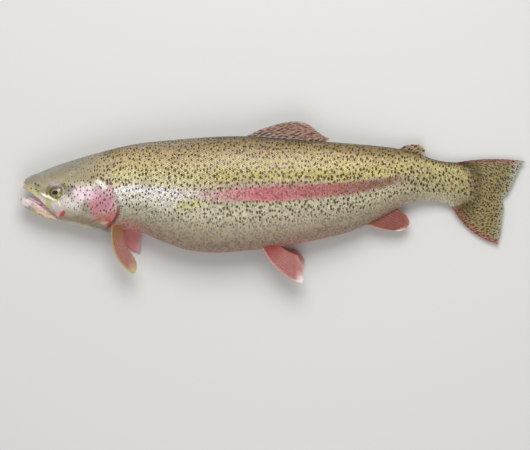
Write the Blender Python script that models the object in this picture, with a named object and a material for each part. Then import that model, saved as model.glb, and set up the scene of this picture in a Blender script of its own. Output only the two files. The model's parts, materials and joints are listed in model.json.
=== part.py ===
"""Rainbow trout, life size, lying on its right side: one solid for each named part.

The head points to -X, the back to +Y and the left flank up. Sizes are millimetres in the
fish's own frame: x runs back from the tip of the lower jaw, y rises from the level of the
eye to the back, and z goes out from the spine to the left flank. place() lays a point of
that frame on the floor, in metres.
"""

import math

import bmesh
import bpy
import numpy as np
from mathutils import Matrix, Vector

MM = 0.001
LENGTH = 540.5            # tip of the lower jaw to the upper tip of the tail fin
MIDDLE_HEIGHT = -10.0     # y of the middle between the dorsal fin and the pelvic fins
GAP = 0.3                 # air between neighbouring solids
WELD = 0.04               # corners closer than this after a cut become one
RING_POINTS = 28          # points round one section of the body
NECK_X = 105.5            # where the head ends and the trunk begins
STALK_X = 402.0           # where the trunk ends and the tail stalk begins
STALK_END_X = 489.0
BEHIND_THE_TAIL = LENGTH + 20.0
STALK_MIDDLE = (430.0, 12.0)
SIDE = 90.0               # further out to the side than any part of the body
BOTTOM, TOP = -SIDE * MM, SIDE * MM
SIDES = {"left": 1, "right": -1}


def profile(*points):
    """Return a curve through (x, value) points that is smooth and never overshoots them."""
    xs, values = np.array(points, dtype=float).T
    steps = np.diff(xs)
    slopes = np.diff(values) / steps
    inner = [2 * a * b / (a + b) if a * b > 0 else 0.0 for a, b in zip(slopes, slopes[1:])]
    tangents = [slopes[0], *inner, slopes[-1]]

    def value(x):
        i = int(np.clip(np.searchsorted(xs, x) - 1, 0, len(steps) - 1))
        t = min(max((x - xs[i]) / steps[i], 0.0), 1.0)
        start = values[i] * (1 + 2 * t) + tangents[i] * steps[i] * t
        end = values[i + 1] * (3 - 2 * t) - tangents[i + 1] * steps[i] * (1 - t)
        return start * (1 - t) ** 2 + end * t**2

    return value


# The lines of the body, as a boat's lines are drawn: back, belly, half breadth.
BACK = profile(
    (0, -6.6), (1.2, -4.0), (2.8, 4.0), (4.2, 12.0), (6.2, 15.8), (19.5, 21.8), (41, 30.4),
    (83, 43.0), (125, 52.6), (180, 58.0), (215, 60.2), (240, 60.6), (262, 59.2), (300, 56.6),
    (363, 52.0), (400, 48.2), (425, 42.0), (441, 36.4), (456, 33.6), (489, 32.0),
)
BELLY = profile(
    (0, -8.8), (1.2, -12.2), (3.2, -14.8), (8, -17.6), (15, -21.6), (30, -28.2), (41, -31.0),
    (62, -35.8), (83, -40.4), (97, -43.2), (104.5, -39.8), (115, -39.4), (126, -41.2),
    (152, -51.8), (181, -61.0), (208, -63.4), (240, -61.2), (276, -57.2), (302, -52.6),
    (329, -47.0), (347, -42.4), (383, -26.6), (402, -16.4), (416, -11.0), (433, -8.6),
    (446, -9.4), (463, -15.8), (489, -24.0),
)
HALF_BREADTH = profile(
    (0, 1.6), (0.8, 4.0), (2.4, 6.4), (5, 8.6), (10, 11.0), (20, 13.6), (40, 17.4), (60, 21.2),
    (80, 24.8), (95, 27.0), (104, 27.2), (114, 27.0), (140, 29.2), (180, 31.4), (215, 32.2),
    (260, 31.2), (300, 28.6), (340, 24.2), (380, 18.6), (410, 14.0), (435, 10.2), (456, 7.0),
    (472, 4.4), (489, 2.2),
)
WIDEST = profile((0, 0.5), (25, 0.46), (70, 0.50), (215, 0.54), (489, 0.5))  # share of depth
BACK_FULLNESS = profile((0, 2.5), (40, 2.35), (110, 2.1), (260, 2.15), (420, 2.0), (489, 1.8))
BELLY_FULLNESS = profile((0, 2.3), (25, 2.0), (80, 1.85), (150, 2.15), (300, 2.2), (489, 1.8))

# Height of the spine above the floor: the flank and gill cover rest, the tail sinks to it.
SPINE = profile(
    (0, 23.6), (60, 25.3), (105, 26.6), (140, 28.5), (180, 30.7), (215, 31.4), (260, 30.4),
    (300, 27.9), (340, 24.3), (380, 19.8), (420, 14.4), (460, 9.0), (500, 4.2), (541, 1.4),
)

MOUTH = [  # outline of the open mouth, from its corner along the upper lip and back
    (40.2, -25.2), (32.2, -18.4), (25.9, -11.6), (21.6, -6.8), (17.4, -3.6), (12.6, 0.4),
    (7.8, 2.6), (3.6, 5.6), (-6.0, 8.0), (-6.0, -3.6), (1.3, -4.2), (5.7, -6.0),
    (12.1, -7.8), (17.4, -10.6), (23.7, -15.0), (32.2, -20.6),
]
JAW_REGION = [  # everything below the mouth and in front of the jaw joint
    (-6.0, 0.0), (7.0, -2.0), (15.0, -5.6), (24.0, -13.0), (40.2, -25.2), (46.5, -36.5),
    (46.5, -60.0), (-6.0, -60.0),
]
GILL_COVER = [  # from its top corner down the free rear edge and up the cheek
    (84.5, 12.4), (95.8, 4.0), (102.4, -7.4), (104.4, -15.9), (103.2, -24.4), (97.0, -32.6),
    (88.0, -37.4), (74.0, -35.4), (66.0, -28.0), (64.0, -14.0), (68.0, 2.0), (76.0, 11.0),
]
GILL_COVER_DEPTH = 5.0
CHEEK_START = 4.0         # how far beside the spine the gill covers may begin
TAIL_ROOT = [  # rear edge of the scaled flesh, from the top of the tail to its lower edge
    (462.0, 34.4), (479.0, 29.0), (486.5, 8.0), (480.0, -8.5), (463.0, -17.0),
]

EYE = (39.0, 0.4, 12.9)
EYE_RADII = (8.8, 8.8, 5.6)
TONGUE = (18.6, -9.2, 0.0)
TONGUE_RADII = (11.0, 2.8, 5.6)
TONGUE_SLOPE = math.radians(-24)


def place(x, y, z, floor=0.0):
    """Lay a point of the fish's frame on the floor, pressed flat where it would sink in."""
    return Vector((x, y, max(z + SPINE(x), floor))) * MM


def section(x, grow):
    """Points round the body at x: two half ellipses, fuller or leaner, that share a width."""
    top, bottom = BACK(x) + grow, BELLY(x) - grow
    level = bottom + WIDEST(x) * (top - bottom)
    breadth = HALF_BREADTH(x) + grow
    ring = []
    for k in range(RING_POINTS):
        turn = 2 * math.pi * k / RING_POINTS
        up, out = math.cos(turn), math.sin(turn)
        power = 2 / (BACK_FULLNESS(x) if up > 0 else BELLY_FULLNESS(x))
        reach = top - level if up > 0 else level - bottom
        y = level + math.copysign(reach * abs(up) ** power, up)
        z = math.copysign(breadth * abs(out) ** power, out)
        ring.append((x, y, z))
    return ring


def stations(start, end):
    """Places of the sections between two ends, close together at the snout.

    Every shape lofted from the body shares the same inner places, so that their faces match.
    """
    shared = [0.0]
    while shared[-1] < STALK_END_X:
        shared.append(shared[-1] + 0.7 + min(0.095 * shared[-1], 9.6))
    return [start, *(x for x in shared if start + 0.5 < x < end - 0.5), end]


def loft(name, start, end, grow=0.0, floor=0.0):
    """Make the body between two stations as one closed mesh object."""
    bm = bmesh.new()
    rings = [
        [bm.verts.new(place(*point, floor)) for point in section(x, grow)]
        for x in stations(start, end)
    ]
    for near, far in zip(rings, rings[1:]):
        for k in range(RING_POINTS):
            j = (k + 1) % RING_POINTS
            bm.faces.new((near[k], near[j], far[j], far[k]))
    bm.faces.new(reversed(rings[0]))
    bm.faces.new(rings[-1])
    return finish(name, bm)


def prism(name, outline, low, high):
    """Make an upright prism from an outline in x and y, between two heights in metres."""
    bm = bmesh.new()
    corners = [bm.verts.new((x * MM, y * MM, low)) for x, y in outline]
    face = bm.faces.new(corners)
    raised = bmesh.ops.extrude_face_region(bm, geom=[face])["geom"]
    moved = [item for item in raised if isinstance(item, bmesh.types.BMVert)]
    bmesh.ops.translate(bm, verts=moved, vec=(0, 0, high - low))
    return finish(name, bm)


def rounded(outline, closed, per_side=4):
    """Run a smooth curve through the points of an outline, by Catmull and Rom's rule."""
    count = len(outline)
    sides = count if closed else count - 1
    curve = []
    for i in range(sides):
        a, b, c, d = (
            Vector(outline[(i + k) % count if closed else min(max(i + k, 0), count - 1)])
            for k in (-1, 0, 1, 2)
        )
        for step in range(per_side):
            t = step / per_side
            curve.append(
                0.5 * (2 * b + (c - a) * t + (2 * a - 5 * b + 4 * c - d) * t**2
                       + (3 * b - a - 3 * c + d) * t**3)
            )
    if not closed:
        curve.append(Vector(outline[-1]))
    return [tuple(point) for point in curve]


def widened(outline, by, middle=None):
    """Push an outline's points out from a middle by a small distance."""
    if middle is None:
        middle = np.mean(outline, axis=0)
    middle = Vector(middle)
    return [tuple(Vector(p) + (Vector(p) - middle).normalized() * by) for p in outline]


def finish(name, bm):
    """Turn a bmesh into an object whose faces point outwards."""
    bmesh.ops.recalc_face_normals(bm, faces=bm.faces)
    mesh = bpy.data.meshes.new(name)
    bm.to_mesh(mesh)
    bm.free()
    thing = bpy.data.objects.new(name, mesh)
    bpy.context.scene.collection.objects.link(thing)
    return thing


def cut(thing, cutter, operation="DIFFERENCE"):
    """Cut a part with another shape, or keep only what they share."""
    modifier = thing.modifiers.new(cutter.name, "BOOLEAN")
    modifier.object = cutter
    modifier.operation = operation
    modifier.solver = "EXACT"


def root_at(thing, body):
    """Cut a fin's root to the body, merge the close corners that leaves, and triangulate."""
    cut(thing, body)
    weld = thing.modifiers.new("weld", "WELD")
    weld.merge_threshold = WELD * MM
    thing.modifiers.new("triangles", "TRIANGULATE")


def ellipsoid(name, centre, radii, grow=0.0, slope=0.0, segments=18, rings=9):
    """Make a ball stretched to three radii, round a place given in the fish's frame."""
    bm = bmesh.new()
    bmesh.ops.create_uvsphere(bm, u_segments=segments, v_segments=rings, radius=1.0)
    bmesh.ops.scale(bm, vec=[(radius + grow) * MM for radius in radii], verts=bm.verts)
    bmesh.ops.rotate(bm, matrix=Matrix.Rotation(slope, 3, "Z"), verts=bm.verts)
    bmesh.ops.translate(bm, vec=place(*centre), verts=bm.verts)
    return finish(name, bm)


def fin(name, root, margin, bow=(0.0, 0.0), thickness=(2.2, 0.7), rays=12, steps=6):
    """Make a fin: a sheet of rays that run from its root line to its outer margin.

    root and margin are points of the fish's frame in the order of the rays. bow bends the
    first and the last ray sideways at the middle. The sheet thins from root to margin.
    """
    root_line = resample(rounded(root, closed=False), rays)
    margin_line = resample(rounded(margin, closed=False), rays)
    bm = bmesh.new()
    sheets = {side: [] for side in (-1, 1)}
    for i, (start, end) in enumerate(zip(root_line, margin_line)):
        share = i / (rays - 1)
        across = Vector((0, 0, 1)).cross(end - start).normalized()
        bend = bow[0] * (1 - share) + bow[1] * share
        for side, sheet in sheets.items():
            sheet.append([])
            for step in range(steps):
                t = step / (steps - 1)
                point = start.lerp(end, t) + across * bend * 4 * t * (1 - t)
                half = 0.5 * (thickness[0] * (1 - t) + thickness[1] * t)
                height = max(point.z + SPINE(point.x), half)
                corner = Vector((point.x, point.y, height + side * half)) * MM
                sheet[-1].append(bm.verts.new(corner))
    for sheet in sheets.values():
        for near, far in zip(sheet, sheet[1:]):
            for step in range(steps - 1):
                bm.faces.new((near[step], near[step + 1], far[step + 1], far[step]))
    upper, lower = rim(sheets[1]), rim(sheets[-1])
    for k, corner in enumerate(upper):
        j = (k + 1) % len(upper)
        bm.faces.new((corner, upper[j], lower[j], lower[k]))
    return finish(name, bm)


def rim(sheet):
    """List the points round the edge of a sheet of rays."""
    margin = [ray[-1] for ray in sheet]
    root = [ray[0] for ray in sheet]
    return root + sheet[-1][1:-1] + margin[::-1] + sheet[0][-2:0:-1]


def resample(points, count):
    """Pick points at equal distances along a line of points."""
    points = np.array(points)
    walked = np.concatenate(([0], np.cumsum(np.linalg.norm(np.diff(points, axis=0), axis=1))))
    wanted = np.linspace(0, walked[-1], count)
    return [Vector([np.interp(d, walked, points[:, i]) for i in range(3)]) for d in wanted]


def along_body(curve, start, end, sink, count=6):
    """Root line of a fin on the middle of the back or belly, a little below the skin."""
    return [(x, curve(x) + sink, 0.0) for x in np.linspace(start, end, count)]


def flat(points, z=0.0):
    """Give points in x and y a height beside the spine."""
    return [(x, y, z) for x, y in points]


def paint(thing, colour, roughness, metallic=0.0):
    """Give a part its own finish. The colour is in display values from 0 to 1."""
    linear = [((c + 0.055) / 1.055) ** 2.4 for c in colour]
    material = bpy.data.materials.new(thing.name)
    material.use_nodes = True
    shader = material.node_tree.nodes["Principled BSDF"]
    shader.inputs["Base Color"].default_value = (*linear, 1.0)
    shader.inputs["Roughness"].default_value = roughness
    shader.inputs["Metallic"].default_value = metallic
    thing.data.materials.append(material)


def make_mouth_and_jaw(head):
    """Cut the open mouth, and part the lower jaw from the head at the jaw joint."""
    mouth = prism("mouth", rounded(MOUTH, closed=False, per_side=2), BOTTOM, TOP)
    cut(head, mouth)
    cut(head, prism("jaw_clearance", widened(JAW_REGION, GAP, (10, -30)), BOTTOM, TOP))
    jaw = loft("lower_jaw", 0.0, 50.0)
    cut(jaw, mouth)
    cut(jaw, prism("jaw_region", JAW_REGION, BOTTOM, TOP), "INTERSECT")
    tongue = ellipsoid("tongue", TONGUE, TONGUE_RADII, slope=TONGUE_SLOPE)
    cut(tongue, prism("tongue_bed", widened(MOUTH, -2 * GAP, (8, -2)), BOTTOM, TOP), "INTERSECT")
    return jaw, tongue


def make_gill_cover(side_name, side, head):
    """Part one gill cover from the side of the head, as a plate with a curved inner face."""
    outline = rounded(GILL_COVER, closed=True, per_side=2)
    inner_side = (SPINE(GILL_COVER[0][0]) + side * CHEEK_START) * MM
    low, high = sorted((inner_side, side * SIDE * MM))
    core = loft(f"gill_core_{side_name}", 56.0, 110.0, grow=-GILL_COVER_DEPTH, floor=-SIDE)
    cover = loft(f"gill_cover_{side_name}", 60.0, 107.0)
    cut(cover, prism(f"gill_outline_{side_name}", outline, low, high), "INTERSECT")
    cut(cover, core)
    bed = loft(f"gill_bed_{side_name}", 58.0, 108.0, grow=2.0, floor=-SIDE)
    wider = widened(outline, GAP)
    cut(bed, prism(f"gill_clearance_{side_name}", wider, low, high), "INTERSECT")
    under = loft(f"gill_under_{side_name}", 57.0, 109.0, -GILL_COVER_DEPTH - GAP, -SIDE)
    cut(bed, under)
    cut(head, bed)
    return cover


def make_eye(side_name, side, head):
    """Seat one eyeball in its socket."""
    x, y, z = EYE
    centre = (x, y, side * z)
    cut(head, ellipsoid(f"eye_socket_{side_name}", centre, EYE_RADII, grow=GAP))
    return ellipsoid(f"eye_{side_name}", centre, EYE_RADII)


def make_head():
    """Make the head with its jaw, tongue, gill covers and eyes."""
    head = loft("head", 0.0, NECK_X)
    jaw, tongue = make_mouth_and_jaw(head)
    paint(head, (0.60, 0.58, 0.49), 0.35)
    paint(jaw, (0.76, 0.68, 0.62), 0.35)
    paint(tongue, (0.80, 0.62, 0.64), 0.4)
    for side_name, side in SIDES.items():
        cover = make_gill_cover(side_name, side, head)
        paint(cover, (0.77, 0.62, 0.63), 0.3)
        eye = make_eye(side_name, side, head)
        paint(eye, (0.10, 0.10, 0.07), 0.05)


def make_trunk_and_stalk():
    """Make the body behind the head, and cut the end of the stalk to the tail fin's root."""
    trunk = loft("trunk", NECK_X + GAP, STALK_X)
    stalk = loft("tail_stalk", STALK_X + GAP, STALK_END_X)
    cut(stalk, prism("tail_region", behind(TAIL_ROOT), BOTTOM, TOP))
    paint(trunk, (0.67, 0.62, 0.50), 0.3)
    paint(stalk, (0.62, 0.58, 0.44), 0.3)


def behind(root):
    """Close an outline round everything behind a root line that runs from top to bottom."""
    line = rounded(root, closed=False)
    return [(line[0][0], SIDE), *line, (line[-1][0], -SIDE), (BEHIND_THE_TAIL, -SIDE),
            (BEHIND_THE_TAIL, SIDE)]


def make_tail_fin():
    """Make the tail fin: a thin fan with a shallow fork, the upper lobe longer."""
    margin = [(540.5, 33.9), (534.8, 28.0), (528.3, 14.8), (521.0, 0.0), (514.6, -6.0),
              (516.4, -15.0), (514.6, -29.4), (513.2, -42.4), (510.0, -54.7)]
    sunk = widened(TAIL_ROOT, -5.0, STALK_MIDDLE)
    tail = fin("tail_fin", flat(sunk), flat(margin), (4.0, -6.8), (4.4, 0.9), 22, 7)
    region = behind(widened(TAIL_ROOT, GAP, STALK_MIDDLE))
    cut(tail, prism("tail_fin_region", region, BOTTOM, TOP), "INTERSECT")
    paint(tail, (0.50, 0.45, 0.31), 0.35)


def make_middle_fins(body):
    """Make the fins that stand on the middle line: dorsal, adipose and anal."""
    dorsal = fin(
        "dorsal_fin", along_body(BACK, 235.5, 322.0, -3.0),
        flat([(290.0, 76.2), (299.0, 76.4), (307.0, 73.2), (314.0, 67.6), (321.0, 62.0),
              (329.0, 58.0)]),
        bow=(3.0, 0.5), rays=16,
    )
    adipose = fin(
        "adipose_fin", along_body(BACK, 401.0, 423.0, -3.0),
        flat([(407.0, 49.6), (413.0, 51.6), (420.0, 52.4), (427.0, 51.8), (431.4, 47.6),
              (431.0, 42.8)]),
        thickness=(2.6, 1.2), rays=10, steps=4,
    )
    anal = fin(
        "anal_fin", along_body(BELLY, 365.0, 400.0, 3.0),
        flat([(403.0, -40.4), (409.0, -38.8), (413.4, -35.0), (414.6, -30.0), (411.0, -23.6)]),
        bow=(-2.2, -0.5), rays=12,
    )
    for thing, colour in ((dorsal, (0.52, 0.45, 0.40)), (adipose, (0.54, 0.47, 0.36)),
                          (anal, (0.60, 0.42, 0.38))):
        root_at(thing, body)
        paint(thing, colour, 0.35)


def make_paired_fins(body):
    """Make the pectoral and pelvic fins. The right ones reach down to the floor."""
    shapes = {
        "pectoral_fin_left": (
            [(98.6, -32.2, 12.4), (105.0, -33.6, 11.4), (111.0, -34.2, 10.0)],
            flat([(119.8, -86.3), (123.6, -84.6), (125.0, -76.4), (121.6, -67.6),
                  (115.8, -61.0)], z=5.0),
            (-9.5, -2.5),
        ),
        "pectoral_fin_right": (
            [(98.0, -30.5, -15.0), (104.5, -32.6, -14.0), (111.0, -33.4, -12.4)],
            flat([(126.8, -64.8), (128.0, -59.0), (128.0, -52.0), (129.2, -42.6)], z=-25.4),
            (-7.0, -1.0),
        ),
        "pelvic_fin_left": (
            [(256.4, -55.8, 9.0), (265.0, -55.4, 8.4), (274.0, -54.2, 8.0)],
            flat([(298.2, -96.0), (301.5, -94.2), (300.8, -85.0), (299.4, -75.4),
                  (294.4, -65.4)], z=2.0),
            (-6.3, -1.5),
        ),
        "pelvic_fin_right": (
            [(256.4, -55.0, -9.6), (265.0, -54.6, -9.0), (274.0, -53.4, -8.6)],
            flat([(298.6, -82.6), (302.6, -77.0), (302.6, -70.6), (298.0, -64.0),
                  (292.0, -59.6)], z=-22.0),
            (-6.0, -1.5),
        ),
    }
    for name, (root, margin, bow) in shapes.items():
        thing = fin(name, root, margin, bow, (2.4, 0.8), 11, 7)
        root_at(thing, body)
        paint(thing, (0.60, 0.43, 0.41), 0.35)


def sort_objects():
    """Put the parts under one empty whose place centres the fish, and hide the cutters."""
    scene = bpy.context.scene
    everything = list(scene.collection.objects)
    parts = bpy.data.collections.new("rainbow_trout")
    cutters = bpy.data.collections.new("cutters")
    scene.collection.children.link(parts)
    scene.collection.children.link(cutters)
    trout = bpy.data.objects.new("trout", None)
    parts.objects.link(trout)
    trout.location = (-0.5 * LENGTH * MM, -MIDDLE_HEIGHT * MM, 0)
    for thing in everything:
        scene.collection.objects.unlink(thing)
        thing.parent = trout
        if thing.data.materials:
            parts.objects.link(thing)
        else:
            cutters.objects.link(thing)
            thing.hide_render = True
            thing.display_type = "WIRE"


def main():
    for thing in list(bpy.data.objects):
        bpy.data.objects.remove(thing)
    make_head()
    make_trunk_and_stalk()
    body = loft("fin_clearance", 60.0, STALK_END_X, grow=GAP, floor=-SIDE)
    make_middle_fins(body)
    make_paired_fins(body)
    make_tail_fin()
    sort_objects()


main()
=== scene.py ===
# %% [markdown]
# # A rainbow trout, life size, lying on its right side
#
# The solids in the frame give the fish its true outline. This lesson dresses them: one wet
# skin without a seam, a coat of scales, fins with rays, eyes, a tongue and small teeth.
# Skin and scales take their colours from the same functions of place on the body, so the
# markings run on from one to the other.

import json
import math
from collections import namedtuple

import bmesh
import bpy
import numpy as np
from mathutils import Matrix, Vector

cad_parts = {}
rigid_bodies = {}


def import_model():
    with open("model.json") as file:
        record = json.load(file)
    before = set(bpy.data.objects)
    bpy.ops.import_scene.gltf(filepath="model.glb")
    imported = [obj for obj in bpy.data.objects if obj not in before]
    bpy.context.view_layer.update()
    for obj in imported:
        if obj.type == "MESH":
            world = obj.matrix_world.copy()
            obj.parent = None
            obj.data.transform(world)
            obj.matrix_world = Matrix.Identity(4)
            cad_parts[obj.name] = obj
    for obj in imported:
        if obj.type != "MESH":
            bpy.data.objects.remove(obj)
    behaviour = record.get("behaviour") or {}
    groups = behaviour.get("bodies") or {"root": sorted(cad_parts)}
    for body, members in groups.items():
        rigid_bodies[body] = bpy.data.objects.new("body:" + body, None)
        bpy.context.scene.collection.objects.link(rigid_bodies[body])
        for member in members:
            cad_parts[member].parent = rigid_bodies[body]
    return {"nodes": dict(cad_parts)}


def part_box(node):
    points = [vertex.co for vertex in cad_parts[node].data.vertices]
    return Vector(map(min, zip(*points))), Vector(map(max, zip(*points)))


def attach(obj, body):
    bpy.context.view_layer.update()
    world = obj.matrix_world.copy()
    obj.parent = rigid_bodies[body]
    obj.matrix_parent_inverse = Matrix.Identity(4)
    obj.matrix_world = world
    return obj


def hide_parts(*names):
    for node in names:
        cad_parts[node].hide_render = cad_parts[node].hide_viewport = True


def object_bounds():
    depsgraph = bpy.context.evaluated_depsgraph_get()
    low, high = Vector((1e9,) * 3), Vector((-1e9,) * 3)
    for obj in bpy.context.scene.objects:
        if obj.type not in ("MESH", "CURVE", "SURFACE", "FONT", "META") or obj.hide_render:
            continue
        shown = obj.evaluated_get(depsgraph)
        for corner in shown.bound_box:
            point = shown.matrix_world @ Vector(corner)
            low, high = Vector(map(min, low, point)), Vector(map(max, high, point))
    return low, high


for thing in list(bpy.data.objects):
    bpy.data.objects.remove(thing)
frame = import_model()
cad_box = [list(corner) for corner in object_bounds()]
print("frame:", len(frame["nodes"]), "solids, from", cad_box[0], "to", cad_box[1])

# %% [markdown]
# ## The fish's own frame
#
# Places on a fish are easier to name along its own lines. So x runs back from the tip of the
# lower jaw, y rises from the eye to the back, and z goes out from the spine to the left
# flank, all in millimetres. The frame's solids say where that origin lies.

# %% The origin of the fish's frame
MM = 0.001
EYE_Y = 0.4  # the middle of the eye, in the fish's own frame

eye_low, eye_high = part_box("eye_left")
ORIGIN = np.array([cad_box[0][0], (eye_low.y + eye_high.y) / 2 - EYE_Y * MM, 0.0])
LENGTH = (cad_box[1][0] - cad_box[0][0]) / MM
print("origin of the fish's frame:", ORIGIN.round(4), "length in mm:", round(LENGTH, 1))


# %% Read places, and write them
def coords(mesh):
    """List the places of a mesh's vertices."""
    flat = np.empty(len(mesh.vertices) * 3, np.float32)
    mesh.vertices.foreach_get("co", flat)
    return flat.reshape(-1, 3).astype(float)


def to_fish(places):
    """Turn places in metres into the fish's frame, with z still above the floor."""
    return (places - ORIGIN) / MM


def to_frame(places):
    """Turn places in the fish's frame, with z above the floor, into metres."""
    return np.asarray(places) * MM + ORIGIN


print("the frame's own origin, in the fish's frame:", to_fish(np.zeros(3)).round(1))


# %% [markdown]
# ## The lines of the body
#
# A boat builder keeps a hull's lines: how high, how deep and how broad it is at each place.
# The solids were lofted through rings of points, so the same lines can be read back from
# those rings. A smooth curve through them gives a body without facets, on which skin,
# scales and markings all find their place.

# %% A smooth curve through measured values
def smooth_line(xs, values):
    """Return a curve through measured values that never overshoots them."""
    xs, values = np.asarray(xs, float), np.asarray(values, float)
    steps = np.diff(xs)
    slopes = np.diff(values) / steps
    product = slopes[:-1] * slopes[1:]
    total = np.where(product > 0, slopes[:-1] + slopes[1:], 1.0)
    inner = np.where(product > 0, 2 * product / total, 0.0)
    tangents = np.concatenate((slopes[:1], inner, slopes[-1:]))

    def value(x):
        x = np.asarray(x, float)
        i = np.clip(np.searchsorted(xs, x) - 1, 0, len(steps) - 1)
        t = np.clip((x - xs[i]) / steps[i], 0.0, 1.0)
        start = values[i] * (1 + 2 * t) + tangents[i] * steps[i] * t
        end = values[i + 1] * (3 - 2 * t) - tangents[i + 1] * steps[i] * (1 - t)
        return start * (1 - t) ** 2 + end * t**2

    return value


print("a curve through 0, 1 and 1, halfway to the first 1:",
      smooth_line((0, 1, 2), (0, 1, 1))(0.5).round(2))


# %% Read the rings of the solids
FLESH = ("head", "lower_jaw", "gill_cover_left", "gill_cover_right", "trunk", "tail_stalk")
FULL_RING = 18           # a loft's ring has at least this many points left after the cuts
OPEN_PLACES = ((0.5, 16.5), (29.0, 49.0))  # where mouth and eye have cut the widest points out
POWERS = np.linspace(1.5, 3.0, 151)
SAME_RING = 0.08         # points this near to one x belong to one ring
RING_GAP = 0.5           # of two rings that lie closer than this, the rear one counts
DIP = 0.1                # how far a ring's top may lie under the smooth line of the back

solid = np.concatenate([to_fish(coords(frame["nodes"][name].data)) for name in FLESH])
solid = np.unique(solid.round(2), axis=0)
ring_xs, ring_sizes = np.unique(solid[:, 0].round(1), return_counts=True)
ring_xs = [x for x, size in zip(ring_xs, ring_sizes) if size >= FULL_RING]


def ring_at(x):
    """List the loft's points at one ring."""
    return solid[np.abs(solid[:, 0] - x) < SAME_RING]


def on_back(xs):
    """Keep the rings that reach the back, which rises to one highest place and falls from it."""
    tops = np.array([ring_at(x)[:, 1].max() for x in xs])
    before = np.maximum.accumulate(tops)
    after = np.maximum.accumulate(tops[::-1])[::-1]
    return [x for x, top, least in zip(xs, tops, np.minimum(before, after)) if top > least - DIP]


ring_xs = on_back(ring_xs)
ring_xs = [x for x, after in zip(ring_xs, [*ring_xs[1:], 1e9]) if after - x > RING_GAP]
print(len(ring_xs), "rings, at x =", ring_xs)


def shut(x):
    """Tell whether neither the mouth nor an eye has cut this ring's widest points out."""
    return all(not start < x < end for start, end in OPEN_PLACES)


# %% Height and depth
TOP = smooth_line(ring_xs, [ring_at(x)[:, 1].max() for x in ring_xs])
BOTTOM = smooth_line(ring_xs, [ring_at(x)[:, 1].min() for x in ring_xs])
SPINE = smooth_line(ring_xs, [ring_at(x)[ring_at(x)[:, 1].argmax(), 2] for x in ring_xs])

shut_xs = [x for x in ring_xs if shut(x)]
widest = np.array([ring_at(x)[ring_at(x)[:, 2].argmax()] for x in shut_xs])
SHARE = smooth_line(shut_xs, (widest[:, 1] - BOTTOM(shut_xs)) / (TOP(shut_xs) - BOTTOM(shut_xs)))


def level(x):
    """Height of the widest place of the flank."""
    return BOTTOM(x) + SHARE(x) * (TOP(x) - BOTTOM(x))


for x in (5, 20, 80, 150, 300, 450):
    print("x", x, "top", TOP(x).round(1), "level", level(x).round(1), "bottom",
          BOTTOM(x).round(1), "spine", SPINE(x).round(1))

# %% Fullness of the back and of the belly
TELLING_RISE, TELLING_REACH = (0.2, 0.97), (0.3, 0.97)     # points between these show a curve
BEST_MISS = 0.02         # a power fits a point where its curve passes this close to it


def between(values, low, high):
    """Tell which values lie between two others."""
    return (values > low) & (values < high)


def fullness(x, breadth, upper):
    """Find the power of the half ellipse that passes through a ring's upper or lower points."""
    ring = ring_at(x)
    rise = (ring[:, 1] - level(x)) / (TOP(x) - level(x) if upper else BOTTOM(x) - level(x))
    reach = (ring[:, 2] - SPINE(x)) / breadth
    inner = between(rise, *TELLING_RISE) & between(reach, *TELLING_REACH)
    misses = np.abs(rise[inner, None] ** POWERS + reach[inner, None] ** POWERS - 1)
    fits = POWERS[misses.argmin(axis=1)][misses.min(axis=1) < BEST_MISS]
    fits = fits[between(fits, POWERS[5], POWERS[-5])]
    return np.median(fits) if len(fits) else np.nan


def line_through(xs, values):
    """Run a curve through the rings that give a value."""
    found = np.isfinite(values)
    return smooth_line(np.asarray(xs)[found], np.asarray(values)[found])


breadths = widest[:, 2] - SPINE(shut_xs)
BACK_FULLNESS, BELLY_FULLNESS = (
    line_through(shut_xs, [fullness(x, breadth, upper) for x, breadth in zip(shut_xs, breadths)])
    for upper in (True, False)
)
print("fullness at x = 200: back", BACK_FULLNESS(200).round(2), "belly",
      BELLY_FULLNESS(200).round(2))

# %% Breadth
TELLING_OPEN_RISE = (0.2, 0.9)       # points between these count where a ring is cut open


def breadth_at(x):
    """Half breadth of a ring, worked out from the points that are left where it is cut open."""
    if shut(x):
        return ring_at(x)[:, 2].max() - SPINE(x)
    ring = ring_at(x)
    rise = (ring[:, 1] - level(x)) / (TOP(x) - level(x))
    chosen = between(rise, *TELLING_OPEN_RISE) & (ring[:, 2] > SPINE(x) + 1.0)
    if not chosen.any():
        return np.nan
    power = BACK_FULLNESS(x)
    out = (1 - rise[chosen] ** power) ** (1 / power)
    return np.median((ring[chosen, 2] - SPINE(x)) / out)


BREADTH = line_through(ring_xs, [breadth_at(x) for x in ring_xs])
print("half breadth at x = 40, 150 and 450:", BREADTH((40, 150, 450)).round(1))


# %% [markdown]
# ## Places on the body
#
# A place on the body is given by x and a turn round the section: 0 on the back, a quarter
# turn on the left flank, half a turn on the belly. The fish lies on the floor, so what would
# sink into it is pressed flat.

# %% From a turn to a place, and back
TAIL_THINS_FROM = 470.0  # behind this the last rings have been cut off


def half_sections(x, back):
    """Reach and fullness of the upper or lower half of the section at x."""
    reach = np.where(back, TOP(x) - level(x), level(x) - BOTTOM(x))
    return reach, np.where(back, BACK_FULLNESS(x), BELLY_FULLNESS(x))


def half_breadth(x):
    """Half breadth at x, which goes on thinning to the end of the tail."""
    return BREADTH(x) * np.interp(x, (TAIL_THINS_FROM, LENGTH), (1.0, 0.1))


def on_body(x, turn, lift=0.0, floor=0.0):
    """Give the places at a turn round the body, lift millimetres outside its surface."""
    x, turn = np.broadcast_arrays(np.asarray(x, float), turn)
    up, out = np.cos(turn), np.sin(turn)
    reach, power = half_sections(x, up > 0)
    y = level(x) + np.sign(up) * (reach + lift) * np.abs(up) ** (2 / power)
    z = SPINE(x) + np.sign(out) * (half_breadth(x) + lift) * np.abs(out) ** (2 / power)
    return np.stack((x, y, np.maximum(z, floor)), axis=-1)


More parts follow.
